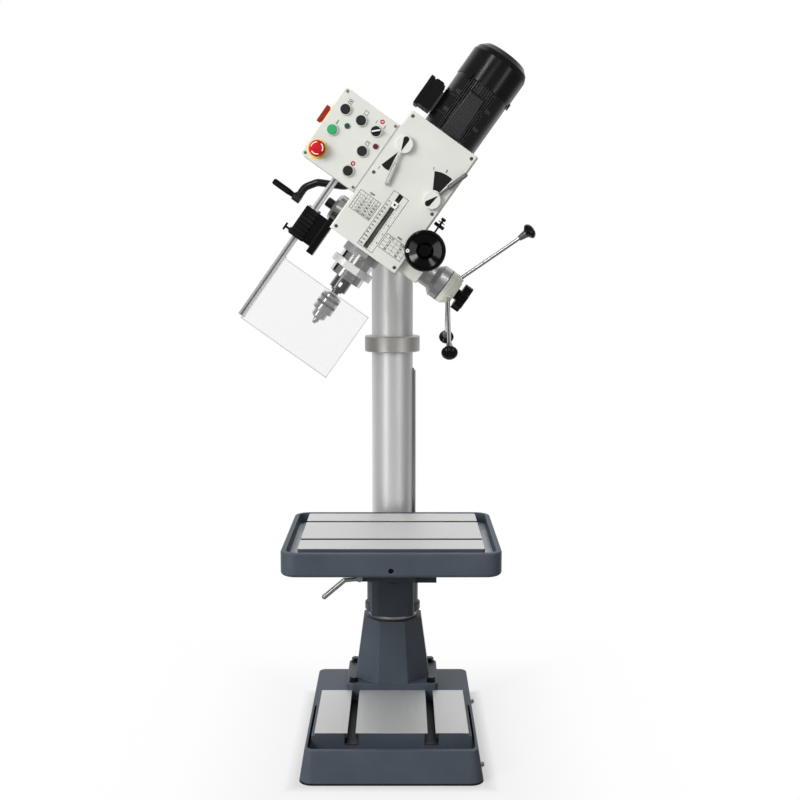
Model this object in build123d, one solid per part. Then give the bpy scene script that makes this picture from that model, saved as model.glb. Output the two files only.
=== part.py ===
from build123d import *
import math
import os

os.makedirs("parts", exist_ok=True)

# Geared pillar drill in millimetres. The floor is z = 0, the column stands on the origin,
# the front of the machine faces -Y. Head pieces are drawn upright about the point where the
# swivel axis meets the spindle axis, and one placement then tilts them all.

# Fits
run_gap = 0.05
loose_gap = 0.4
tooth_backlash = 0.35

# Column
column_radius = 57.5
column_wall = 9.0
column_top = 1551.0
cap_thickness = 8.0
collar_radius = 77.0
collar_bottom = 1050.0
collar_height = 44.0

# Base casting
base_width = 466.0
base_front = -504.0
base_back = 119.0
base_corner = 34.0
base_edge = 2.5
base_taper = 9.35
rim_height = 85.0
gutter_floor = 52.0
gutter_half = 213.0
gutter_front = -478.0
gutter_back = -185.0
ledge_half = 206.0
ledge_height = 91.0
work_half = 198.5
work_height = 98.0
work_front = -408.0
work_back = -106.0
base_cavity_top = 40.0
base_wall = 18.0
base_slot_x = 103.0
base_neck_width = 21.0
base_neck_depth = 14.0
base_foot_width = 36.0
base_foot_height = 16.0

# Column foot
flange_width = 258.0
flange_depth = 208.0
flange_thick = 18.0
foot_bottom_half = 105.0
foot_taper = 7.6
foot_edge = 9.0
flange_edge = 4.0
foot_top = 288.0
foot_bolt_x = 110.0
foot_bolt_y = 82.0
foot_bolt_radius = 7.0
rack_ring_radius = 69.0
rack_ring_height = 12.0

# Table rack and lift pinion
tooth_module = 2.0
rack_seat = 55.0
rack_thick = 11.0
rack_width = 24.0
rack_top = 1002.0
lift_teeth = 16
lift_pinion_width = 26.0
lift_height = 422.0
lift_shaft_radius = 9.0
lift_crank_reach = 120.0
lift_crank_angle = 28.0
lift_crank_start = 86.0

# Table and its bracket
spindle_reach = 302.0
table_width = 540.0
table_depth = 476.0
table_corner = 40.0
table_top_edge = 4.0
table_low_edge = 9.0
table_bottom = 542.0
table_rim_top = 602.0
table_rim = 13.0
table_gutter_floor = 574.0
table_work_width = 458.0
table_work_depth = 400.0
table_work_top = 605.5
table_work_corner = 7.0
table_cavity_top = 558.0
table_slot_offset = 100.0
table_neck_width = 18.0
table_neck_depth = 16.0
table_foot_width = 30.0
table_foot_height = 13.0
drain_radius = 7.0
drain_height = 559.0
sleeve_radius = 73.0
sleeve_bottom = 304.0
sleeve_rim_radius = 79.0
sleeve_rim_height = 24.0
arm_half = 61.5
arm_front = -420.0
arm_thick = 42.0
boss_bottom = 308.0
boss_front = -96.0
table_bolt_radius = 6.0
table_bolt_x = 42.0
table_bolt_y = 60.0
clamp_x = -93.5
clamp_height = 401.0
clamp_screw_radius = 6.0
clamp_lug_half = 12.0
clamp_rod_radius = 7.5
clamp_elbow = (-136.0, 397.0)
clamp_tip = (-195.0, 347.0)

# Head placement and gearbox casting
swivel_height = 1425.0
head_tilt = 35.5
case_half = 100.0
case_front = -100.0
case_back = 190.0
case_bottom = -120.0
case_top = 225.0
case_wall = 12.0
case_rear_wall = 18.0
deck_bottom = 62.0
deck_thick = 12.0
bracket_radius = 88.0
bracket_low = -95.0
bracket_high = 112.0
swivel_flange_radius = 92.0
swivel_journal_radius = 55.0
swivel_spigot_radius = 24.0

# Front plate and speed levers
plate_half = 96.0
plate_thick = 10.0
plate_screw_x = 87.0
plate_screw_heights = (213.0, 50.0, -108.5)
screw_radius = 2.5
scale_slot_half = 6.0
scale_slot_top = 43.0
scale_slot_bottom = -110.0
lever_disc_radius = 22.0
lever_disc_thick = 13.0
lever_shaft_radius = 8.0
left_lever_x = -65.0
left_lever_z = 146.0
left_lever_angle = 169.0
right_lever_x = 67.0
right_lever_z = 76.0
right_lever_angle = 18.0

# Spindle and quill
quill_radius = 44.0
quill_top = 60.0
quill_bottom = -205.0
quill_bore = 23.0
nose_radius = 49.0
nose_bottom = -142.0
quill_boss_radius = 57.0
quill_rack_tip = 42.5
spindle_radius = 20.0
spline_root = 15.0
spline_tip = 17.0
spline_width = 5.0
spindle_top = 205.0
spindle_nose_radius = 22.7
spindle_nose_bottom = -239.0
bearing_radius = 31.0
bearing_height = 18.0
chuck_top = -255.0
depth_ring_radius = 57.0
depth_ring_top = -162.0
depth_ring_bottom = -181.0
depth_rod_y = -68.0
depth_rod_radius = 3.5
depth_rod_top = 52.0
depth_pointer_z = 15.0

# Gear train
motor_x = 9.0
motor_y = 40.0
motor_teeth = 18
lay_big_teeth = 42
lay_small_teeth = 22
sleeve_teeth = 54
first_stage_z = 150.0
second_stage_z = 118.0
gear_width = 20.0
lay_shaft_radius = 10.0
drive_sleeve_radius = 28.0
drive_sleeve_top = 146.0

# Motor
motor_flange_radius = 78.0
motor_radius = 70.0
motor_fin_radius = 75.5
motor_recess_half = 37.0
motor_fin_gap = 6.6
motor_frame_top = 390.0
motor_bore = 56.0
motor_shaft_radius = 12.0
fan_cover_radius = 77.5
fan_cover_bottom = 384.0
fan_cover_shoulder = 455.0
fan_cover_top = 482.0
fan_cover_wall = 2.5

# Quill feed
feed_z = -71.5
feed_teeth = 14
feed_pinion_width = 22.0
feed_shaft_radius = 11.0
feed_boss_right = 151.0
feed_boss_top = -8.0
feed_boss_bottom = -110.0
feed_drum_right = 217.0
feed_drum_radius = 44.5
feed_neck_radius = 33.0
feed_hub_left = 219.0
feed_hub_right = 254.0
feed_lever_lean = 20.0
feed_lever_turn = -2.0
feed_lever_radius = 5.0
feed_lever_root = 24.0
feed_lever_length = 248.0
feed_knob_radius = 20.5
clutch_stud_radius = 6.0
worm_module = 1.5
worm_wheel_teeth = 36
worm_wheel_width = 12.0
worm_pitch_radius = 12.0
worm_x = 124.0
worm_shaft_radius = 8.0
handwheel_radius = 50.5
handwheel_front = -150.0
lock_screw_x = 118.0
lock_screw_y = -60.0
spring_case_radius = 38.0
spring_case_left = -131.0
spring_knob_left = -153.0

# Control box
box_left = -256.5
panel_gap = 0.3
box_low = -16.5
box_high = 177.0
box_front = -108.0
box_rear = -28.0
box_wall = 2.5
button_radius = 12.0
button_travel = 4.0
bezel_radius = 14.5
lamp_radius = 6.5
stop_radius = 20.0
black_buttons = ((-229.0, 132.0), (-183.0, 132.0), (-139.0, 74.0), (-140.0, 16.0))
green_button_at = (-227.5, 74.0)
selector_at = (-139.0, 132.0)
stop_at = (-230.0, 16.0)
lamps_at = ((-203.0, 102.0), (-119.0, 102.0))
main_switch_z = 95.0
main_switch_y = -68.0

# Guard
post_x = -161.0
post_y = -8.0
post_side = 16.0
post_top = 50.0
post_bottom = -433.0
pane_right = 107.0
pane_top = -246.0
pane_bottom = -431.0
pane_front = -86.0
pane_thick = 3.0
guard_bracket_top = -109.0
guard_bracket_bottom = -192.0
guard_collar_radius = 15.0

# Tilt drive
tilt_wheel_teeth = 44
tilt_wheel_width = 12.0
tilt_worm_radius = 12.0
tilt_worm_y = 145.0
tilt_shaft_radius = 8.0
tilt_crank_end_x = -228.0
tilt_crank_end_z = -110.0
tilt_arm_radius = 10.0
tilt_grip_left = -305.0

# Derived places
flange_top = work_height + flange_thick
rack_pitch_x = rack_seat + rack_thick - tooth_module
lift_axis_x = rack_pitch_x + tooth_module * lift_teeth / 2
feed_y = quill_rack_tip - tooth_module + tooth_module * feed_teeth / 2
worm_z = feed_z + worm_module * worm_wheel_teeth / 2 + worm_pitch_radius
tilt_worm_z = worm_module * tilt_wheel_teeth / 2 + tilt_worm_radius
plate_front = case_front - plate_thick
table_y = -spindle_reach
head_place = Pos(0, -spindle_reach, swivel_height) * Rot(0, head_tilt, 0)


def lay_axis():
    """Find the layshaft from the two gear centre distances."""
    first = tooth_module * (motor_teeth + lay_big_teeth) / 2
    second = tooth_module * (lay_small_teeth + sleeve_teeth) / 2
    span = math.hypot(motor_x, motor_y)
    along = (second ** 2 + span ** 2 - first ** 2) / (2 * span)
    across = math.sqrt(second ** 2 - along ** 2)
    ux = motor_x / span
    uy = motor_y / span
    return (along * ux - across * uy, along * uy + across * ux)


lay_x, lay_y = lay_axis()


def block(x0, x1, y0, y1, z0, z1):
    """Box between two corners."""
    middle = Pos((x0 + x1) / 2, (y0 + y1) / 2, (z0 + z1) / 2)
    return middle * Box(abs(x1 - x0), abs(y1 - y0), abs(z1 - z0))


def rod_x(y, z, radius, x0, x1):
    """Cylinder along X."""
    return Pos((x0 + x1) / 2, y, z) * Rot(0, 90, 0) * Cylinder(radius, abs(x1 - x0))


def rod_y(x, z, radius, y0, y1):
    """Cylinder along Y."""
    return Pos(x, (y0 + y1) / 2, z) * Rot(90, 0, 0) * Cylinder(radius, abs(y1 - y0))


def rod_z(x, y, radius, z0, z1):
    """Cylinder along Z."""
    return Pos(x, y, (z0 + z1) / 2) * Cylinder(radius, abs(z1 - z0))


def turned(profile):
    """Solid of revolution about Z from (radius, height) points."""
    outline = [Vector(r, 0, z) for r, z in profile]
    face = make_face(Polyline(*outline, close=True))
    return revolve(face, Axis.Z, 360)


def turned_x(profile, y, z):
    """Solid of revolution about a line along X, heights read as X."""
    return Pos(0, y, z) * Rot(0, 90, 0) * turned(profile)


def turned_y(profile, x, z):
    """Solid of revolution about a line along Y, heights read as Y."""
    return Pos(x, 0, z) * Rot(-90, 0, 0) * turned(profile)


def between(start, end, radius):
    """Cylinder from one point to another."""
    line = Vector(*end) - Vector(*start)
    plane = Plane(origin=start, z_dir=line)
    return extrude(plane * Circle(radius), amount=line.length)


def bent_bar(points, bend, radius):
    """Round bar along straight runs joined by arcs."""
    path = FilletPolyline(*[Vector(*point) for point in points], radius=bend)
    start = Plane(origin=path @ 0, z_dir=path % 0)
    return sweep(start * Circle(radius), path=path)


def hex_socket(radius, depth):
    """Hexagonal recess that opens at z = 0 and goes down."""
    return extrude(RegularPolygon(radius, 6), amount=-depth)


def cap_screw(radius, length, head):
    """Socket screw, seat of its head at z = 0, shank pointing down."""
    shape = rod_z(0, 0, radius, -length, 0) + rod_z(0, 0, head, 0, radius * 2)
    return shape - Pos(0, 0, radius * 2) * hex_socket(radius * 0.85, radius)


def involute_points(module, teeth, backlash):
    """One tooth outline as (radius, angle from tooth centre), rising flank first."""
    pitch = module * teeth / 2
    base = pitch * math.cos(math.radians(20))
    tip = pitch + module
    root = pitch - 1.25 * module
    half = (math.pi * module / 2 - backlash) / 2 / pitch
    inv_pitch = math.tan(math.radians(20)) - math.radians(20)
    flank = []
    for step in range(4):
        low = max(root, base)
        radius = low + (tip - low) * step / 3
        pressure = math.acos(min(1.0, base / radius))
        spread = math.tan(pressure) - pressure
        flank.append((radius, half + inv_pitch - spread))
    if root < base:
        flank.insert(0, (root, flank[0][1]))
    rising = [(radius, -angle) for radius, angle in flank]
    return rising + list(reversed(flank))


def gear_face(module, teeth, phase, backlash=tooth_backlash):
    """Gear outline with one tooth centred on the angle phase, in degrees."""
    tooth = involute_points(module, teeth, backlash)
    points = []
    for index in range(teeth):
        centre = math.radians(phase) + 2 * math.pi * index / teeth
        for radius, angle in tooth:
            turn = centre + angle
            points.append(Vector(radius * math.cos(turn), radius * math.sin(turn)))
    return make_face(Polyline(*points, close=True))


def gear(module, teeth, z0, width, phase):
    """Spur gear on the Z axis."""
    return extrude(Pos(0, 0, z0) * gear_face(module, teeth, phase), amount=width)


def mesh_phase(phase, teeth, other_teeth, direction):
    """Phase that lets another gear mesh with one at the given phase and direction."""
    offset = (direction - phase) / (360 / teeth)
    return direction + 180 + (offset + 0.5) * 360 / other_teeth


def rack_line(module, first, last, centre):
    """Rack outline as (height above pitch line, position), one tooth at centre."""
    pitch = math.pi * module
    slope = math.tan(math.radians(20))
    half = pitch / 4
    tip = half - module * slope
    root = half + 1.25 * module * slope
    start = math.ceil((first - centre + root) / pitch)
    stop = math.floor((last - centre - root) / pitch)
    points = []
    for index in range(start, stop + 1):
        middle = centre + index * pitch
        points.append((-1.25 * module, middle - root))
        points.append((module, middle - tip))
        points.append((module, middle + tip))
        points.append((-1.25 * module, middle + root))
    return points


def worm(module, radius, half_length, direction):
    """Single-start worm on the Z axis, its crest at z = 0 facing the direction in degrees."""
    lead = math.pi * module
    z0 = -half_length
    z1 = half_length
    phase = direction - 360 * half_length / lead
    slope = math.tan(math.radians(20))
    half = (lead / 2 - tooth_backlash) / 2
    tip_half = (half - module * slope) / lead
    root_half = (half + 1.2 * module * slope) / lead
    low = radius - 1.2 * module
    high = radius + module
    points = []
    for step in range(48):
        turn = step / 48 - 0.5
        if abs(turn) <= tip_half:
            reach = high
        elif abs(turn) >= root_half:
            reach = low
        else:
            reach = high - (high - low) * (abs(turn) - tip_half) / (root_half - tip_half)
        angle = 2 * math.pi * turn + math.radians(phase)
        points.append(Vector(reach * math.cos(angle), reach * math.sin(angle)))
    section = Pos(0, 0, z0) * make_face(Polyline(*points, close=True))
    turns = 360 * (z1 - z0) / lead
    return Solid.extrude_linear_with_rotation(section.face(), (0, 0, z0), (0, 0, z1 - z0), turns)


def t_slot_y(x, y0, y1, top, neck, neck_depth, foot, foot_height):
    """T-slot cutter along Y."""
    shape = block(x - neck / 2, x + neck / 2, y0, y1, top - neck_depth - 1, top + 1)
    low = top - neck_depth - foot_height
    return shape + block(x - foot / 2, x + foot / 2, y0, y1, low, top - neck_depth)


def t_slot_x(y, x0, x1, top, neck, neck_depth, foot, foot_height):
    """T-slot cutter along X."""
    shape = block(x0, x1, y - neck / 2, y + neck / 2, top - neck_depth - 1, top + 1)
    low = top - neck_depth - foot_height
    return shape + block(x0, x1, y - foot / 2, y + foot / 2, low, top - neck_depth)


def corners(half_x, half_y, middle_y=0.0):
    """Four points of a rectangle."""
    return [(sx * half_x, middle_y + sy * half_y) for sx in (-1, 1) for sy in (-1, 1)]


def save(name, shape, place=None):
    """Write one node."""
    placed = shape if place is None else place * shape
    export_step(placed, f"parts/{name}.step")


def group(shapes):
    """Separate solids that share a node."""
    return Compound(children=list(shapes))


# Stand

def base_casting():
    """Drafted base with gutters, a slotted work face and a seat for the column foot."""
    middle = (base_front + base_back) / 2
    outline = Pos(0, middle) * RectangleRounded(base_width, base_back - base_front, base_corner)
    body = extrude(outline, amount=rim_height, taper=base_taper)
    body = fillet(body.edges().group_by(Axis.Z)[-1], base_edge)
    gutter = block(-gutter_half, gutter_half, gutter_front, gutter_back, gutter_floor, rim_height + 1)
    body -= fillet(gutter.edges().filter_by(Axis.Z).group_by(Axis.Y)[0], base_corner / 2)
    body += block(-ledge_half, ledge_half, work_front, work_back, gutter_floor - 1, ledge_height)
    body += block(-work_half, work_half, work_front, work_back, gutter_floor - 1, work_height)
    seat = Pos(0, 0, rim_height - 1) * RectangleRounded(flange_width, flange_depth, 18)
    body += extrude(seat, amount=work_height - rim_height + 1)
    inner = base_width / 2 - base_wall
    length = base_back - base_front - 2 * base_wall
    bay = length / 3 - 8
    for index in range(3):
        start = base_front + base_wall + index * (bay + 12)
        body -= block(-inner, inner, start, start + bay, -1, base_cavity_top)
    body += rod_z(0, 0, column_radius + 20, 0, base_cavity_top + 1)
    for side in (-1, 1):
        body -= t_slot_y(side * base_slot_x, work_front - 1, -flange_depth / 2, work_height,
                         base_neck_width, base_neck_depth, base_foot_width, base_foot_height)
    for x, y in corners(foot_bolt_x, foot_bolt_y):
        body -= rod_z(x, y, foot_bolt_radius + 0.1, work_height - 30, work_height + 1)
    for y, z in fitting_places:
        body -= rod_x(y, z, 5 + run_gap, side_face(z) - 9, side_face(z) + 9)
    return body


def side_face(z):
    """X of the drafted right side at a height."""
    return base_width / 2 - z * math.tan(math.radians(base_taper))


fitting_places = ((-60.0, 48.0), (-430.0, 24.0))


def coolant_fittings():
    """Two hose nipples in the right side of the base."""
    pieces = []
    for y, z in fitting_places:
        face = side_face(z)
        profile = [(0, face - 8), (5, face - 8), (5, face + 2), (7.5, face + 2), (7.5, face + 4.5),
                   (4.5, face + 5), (5.5, face + 6.5), (4.5, face + 8), (0, face + 8)]
        pieces.append(turned_x(profile, y, z))
    return group(pieces)


def column_foot():
    """Octagonal column foot on a bolted flange."""
    flange = extrude(RectangleRounded(flange_width, flange_depth, 18), amount=flange_thick)
    flange = fillet(flange.edges().group_by(Axis.Z)[-1], flange_edge)
    body = Pos(0, 0, work_height) * flange
    octagon = RegularPolygon(foot_bottom_half, 8, major_radius=False, rotation=22.5)
    section = Pos(0, 0, flange_top) * fillet(octagon.vertices(), foot_edge)
    body += extrude(section, amount=foot_top - flange_top, taper=foot_taper)
    body -= rod_z(0, 0, column_radius + run_gap, work_height - 1, foot_top + 1)
    for x, y in corners(foot_bolt_x, foot_bolt_y):
        body -= rod_z(x, y, foot_bolt_radius + 0.1, work_height - 1, flange_top + 60)
        body -= rod_z(x, y, 13.5, flange_top, flange_top + 60)
    return body


def foot_bolts():
    """Four hexagon bolts with washers."""
    bolt = rod_z(0, 0, foot_bolt_radius, -flange_thick - 26, 0)
    bolt += rod_z(0, 0, 13, 0, 2.5)
    bolt += extrude(Pos(0, 0, 2) * RegularPolygon(11.5, 6), amount=11)
    return group([Pos(x, y, flange_top) * bolt for x, y in corners(foot_bolt_x, foot_bolt_y)])


def column_tube():
    """Ground column, closed on top, with a flat for the rack."""
    body = rod_z(0, 0, column_radius, work_height, column_top)
    body -= rod_z(0, 0, column_radius - column_wall, work_height - 1, column_top - cap_thickness)
    flat = block(rack_seat, column_radius + 1, -rack_width / 2 - run_gap, rack_width / 2 + run_gap,
                 foot_top + rack_ring_height, rack_top)
    return body - flat


def column_collar():
    """Clamp collar under the head bracket."""
    body = rod_z(0, 0, collar_radius, collar_bottom, collar_bottom + collar_height)
    body = chamfer(body.edges().filter_by(GeomType.CIRCLE), 2)
    body -= rod_z(0, 0, column_radius + run_gap, collar_bottom - 1, collar_bottom + collar_height + 1)
    middle = collar_bottom + collar_height / 2
    return body - rod_y(0, middle, 5, column_radius, collar_radius + 5)


def rack_ring():
    """Ring that carries the rack on top of the column foot."""
    body = rod_z(0, 0, rack_ring_radius, foot_top, foot_top + rack_ring_height)
    body = fillet(body.edges().filter_by(GeomType.CIRCLE), 4)
    return body - rod_z(0, 0, column_radius + run_gap, foot_top - 1, foot_top + rack_ring_height + 1)


def column_rings():
    """Both steel rings on the column."""
    return group([column_collar(), rack_ring()])


def table_rack():
    """Lift rack, teeth facing +X."""
    low = foot_top + rack_ring_height
    teeth = rack_line(tooth_module, low, rack_top, lift_height)
    points = [(rack_seat, low), (rack_pitch_x - 1.25 * tooth_module, low)]
    points += [(rack_pitch_x + height, z) for height, z in teeth]
    points += [(rack_pitch_x - 1.25 * tooth_module, rack_top), (rack_seat, rack_top)]
    outline = Polyline(*[Vector(x, -rack_width / 2, z) for x, z in points], close=True)
    return extrude(make_face(outline), amount=rack_width, dir=(0, 1, 0))


# Table

def work_table():
    """Slotted table with a coolant gutter all round."""
    outer = Pos(0, table_y, table_bottom) * RectangleRounded(table_width, table_depth, table_corner)
    body = extrude(outer, amount=table_rim_top - table_bottom)
    body = fillet(body.edges().group_by(Axis.Z)[-1], table_top_edge)
    body = fillet(body.edges().group_by(Axis.Z)[0], table_low_edge)
    well_width = table_width - 2 * table_rim
    well_depth = table_depth - 2 * table_rim
    well = Pos(0, table_y, table_gutter_floor)
    well = well * RectangleRounded(well_width, well_depth, table_corner - table_rim)
    body -= extrude(well, amount=table_work_top)
    half_x = table_work_width / 2
    half_y = table_work_depth / 2
    field = Pos(0, table_y, table_gutter_floor - 1)
    field = field * RectangleRounded(table_work_width, table_work_depth, table_work_corner)
    body += extrude(field, amount=table_work_top - table_gutter_floor + 1)
    for side in (-1, 1):
        x0 = side * (arm_half + 12)
        x1 = side * (half_x - 10)
        body -= block(x0, x1, table_y - half_y + 12, table_y - 8, table_bottom - 1, table_cavity_top)
        body -= block(x0, x1, table_y + 8, table_y + half_y - 12, table_bottom - 1, table_cavity_top)
        body -= t_slot_x(table_y + side * table_slot_offset, -half_x - 1, half_x + 1, table_work_top,
                         table_neck_width, table_neck_depth, table_foot_width, table_foot_height)
    front = table_y - table_depth / 2
    pit_y = front + table_rim + drain_radius + 2
    body -= rod_y(0, drain_height, drain_radius, front - 1, pit_y)
    body -= rod_z(0, pit_y, drain_radius, drain_height - drain_radius + 1, table_gutter_floor + 1)
    for x, y in corners(table_bolt_x, table_bolt_y, table_y):
        body -= rod_z(x, y, table_bolt_radius + 0.1, table_bottom - 1, table_bottom + 16)
    return body


def table_bracket():
    """Clamped sleeve on the column with the arm that carries the table."""
    body = rod_z(0, 0, sleeve_radius, sleeve_bottom, table_bottom)
    rim = rod_z(0, 0, sleeve_rim_radius, sleeve_bottom, sleeve_bottom + sleeve_rim_height)
    body += chamfer(rim.edges().filter_by(GeomType.CIRCLE), 4)
    boss = block(-arm_half, arm_half, boss_front, 0, boss_bottom, table_bottom)
    body += fillet(boss.edges().filter_by(Axis.Z).group_by(Axis.Y)[0], 24)
    body += block(-arm_half, arm_half, arm_front, boss_front + 30, table_bottom - arm_thick, table_bottom)
    rib = Polyline((boss_front + 5, 400), (boss_front + 5, table_bottom - arm_thick + 1),
                   (arm_front + 40, table_bottom - arm_thick + 1), close=True)
    rib_face = Plane.YZ * make_face(rib)
    body += Pos(-12, 0, 0) * extrude(rib_face, amount=24)
    body += block(40, lift_axis_x + 46, -30, 30, lift_height - 34, lift_height + 34)
    body += rod_y(lift_axis_x, lift_height, 17, 0, lift_crank_start - 2)
    body += block(clamp_x - 12, -40, -22, 22, clamp_height - clamp_lug_half, clamp_height + clamp_lug_half)
    body -= rod_z(0, 0, column_radius + run_gap, sleeve_bottom - 1, table_bottom + 1)
    body -= block(0, rack_seat + rack_thick + 1.5, -rack_width / 2 - 1.5, rack_width / 2 + 1.5,
                  sleeve_bottom - 1, table_bottom + 1)
    body -= block(clamp_x - 20, -column_radius + 4, -1.5, 1.5, sleeve_bottom - 1, table_bottom + 1)
    cavity = tooth_module * (lift_teeth / 2 + 1) + 1.5
    body -= rod_y(lift_axis_x, lift_height, cavity, -lift_pinion_width / 2 - 1, lift_pinion_width / 2 + 1)
    body -= rod_y(lift_axis_x, lift_height, lift_shaft_radius + run_gap, -26, lift_crank_start)
    body -= rod_y(clamp_x, clamp_height, clamp_screw_radius + run_gap, -30, 30)
    for x, y in corners(table_bolt_x, table_bolt_y, table_y):
        body -= rod_z(x, y, table_bolt_radius + 0.1, table_bottom - arm_thick - 1, table_bottom + 1)
    return body


def table_bolts():
    """Four screws that hold the table on its arm."""
    bolt = Rot(180, 0, 0) * cap_screw(table_bolt_radius, arm_thick + 14, 9.5)
    low = table_bottom - arm_thick
    return group([Pos(x, y, low) * bolt for x, y in corners(table_bolt_x, table_bolt_y, table_y)])


def table_clamp_lever():
    """Bent clamp lever with its screw through the split lug."""
    screw = rod_y(clamp_x, clamp_height, clamp_screw_radius, -24, 30)
    hub = rod_y(clamp_x, clamp_height, 9, -40, -22)
    nut = rod_y(clamp_x, clamp_height, 10, 22, 30)
    bend = (clamp_elbow[0], -31, clamp_elbow[1])
    end = (clamp_tip[0], -31, clamp_tip[1])
    rod = between((clamp_x, -31, clamp_height), bend, clamp_rod_radius)
    bent = between(bend, end, clamp_rod_radius)
    elbow = Pos(*bend) * Sphere(clamp_rod_radius)
    tip = Pos(*end) * Sphere(clamp_rod_radius)
    return screw + hub + nut + rod + bent + elbow + tip


def lift_pinion():
    """Pinion shaft that climbs the rack."""
    shaft = rod_z(0, 0, lift_shaft_radius, -25, lift_crank_start + 18)
    phase = 180 + 180 / lift_teeth
    teeth = gear(tooth_module, lift_teeth, -lift_pinion_width / 2, lift_pinion_width, phase)
    return Pos(lift_axis_x, 0, lift_height) * Rot(-90, 0, 0) * (shaft + teeth)


def lift_crank():
    """Crank arm on the pinion shaft and the grip on its pin."""
    turn = math.radians(lift_crank_angle)
    end_x = lift_axis_x + lift_crank_reach * math.cos(turn)
    end_z = lift_height + lift_crank_reach * math.sin(turn)
    start = lift_crank_start
    hub = rod_y(lift_axis_x, lift_height, 18, start, start + 22)
    middle = ((lift_axis_x + end_x) / 2, start + 14, (lift_height + end_z) / 2 - 6)
    arm = bent_bar([(lift_axis_x, start + 11, lift_height), middle, (end_x, start + 30, end_z)], 60, 8)
    eye = rod_y(end_x, end_z, 11, start + 20, start + 40)
    pin = rod_y(end_x, end_z, 4, start + 38, start + 100)
    body = hub + arm + eye + pin
    body -= rod_y(lift_axis_x, lift_height, lift_shaft_radius + run_gap, start - 1, start + 18)
    return body


def lift_set():
    """Pinion shaft and the crank pinned on it."""
    return group([lift_pinion(), lift_crank()])


def lift_grip():
    """Plastic grip that turns on the crank pin."""
    turn = math.radians(lift_crank_angle)
    end_x = lift_axis_x + lift_crank_reach * math.cos(turn)
    end_z = lift_height + lift_crank_reach * math.sin(turn)
    start = lift_crank_start + 40.3
    profile = [(4 + run_gap, start), (9, start), (11, start + 14), (11.5, start + 44), (9, start + 60),
               (4 + run_gap, start + 60)]
    return turned_y(profile, end_x, end_z)


# Head bracket

def head_bracket():
    """Clamp on the column top with the swivel flange and spigot for the head."""
    body = rod_z(0, 0, bracket_radius, swivel_height + bracket_low, swivel_height + bracket_high)
    face = case_back - spindle_reach + run_gap
    body += rod_y(0, swivel_height, swivel_flange_radius, face, 0)
    body += rod_y(0, swivel_height, swivel_journal_radius, face - case_rear_wall, 0)
    body += rod_y(0, swivel_height, swivel_spigot_radius, tilt_worm_y - 14 - spindle_reach, 0)
    body += block(-34, 34, column_radius, bracket_radius + 34, swivel_height - 70, swivel_height + 86)
    body -= rod_z(0, 0, column_radius + run_gap, swivel_height - 200, swivel_height + 200)
    body -= block(-2, 2, 0, bracket_radius + 40, swivel_height - 200, swivel_height + 200)
    for dz in (-40, 56):
        body -= rod_x(bracket_radius + 18, swivel_height + dz, 7.1, -40, 40)
    return body


def bracket_bolts():
    """Two clamp screws across the split of the head bracket."""
    pieces = []
    for dz in (-40, 56):
        screw = Rot(0, 90, 0) * cap_screw(7, 68, 11)
        pieces.append(Pos(34, bracket_radius + 18, swivel_height + dz) * screw)
    return group(pieces)


def tilt_wheel():
    """Worm wheel fixed on the swivel spigot, helical to suit the worm."""
    lead_angle = math.degrees(math.atan(worm_module / (2 * tilt_worm_radius)))
    facing = head_tilt - 90
    return worm_wheel_blank(tilt_wheel_teeth, tilt_wheel_width, lead_angle, swivel_spigot_radius, facing)


def worm_wheel_blank(teeth, width, lead_angle, bore, phase):
    """Helical wheel on the Z axis, middle at z = 0, a space at phase in the middle plane."""
    pitch = worm_module * teeth / 2
    twist = math.degrees(width * math.tan(math.radians(lead_angle)) / pitch)
    start = phase + 180 / teeth - twist / 2
    section = Pos(0, 0, -width / 2) * gear_face(worm_module, teeth, start)
    start_point = (0, 0, -width / 2)
    body = Solid.extrude_linear_with_rotation(section.face(), start_point, (0, 0, width), twist)
    return body - Cylinder(bore + run_gap, width + 2)


# Gearbox

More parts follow.
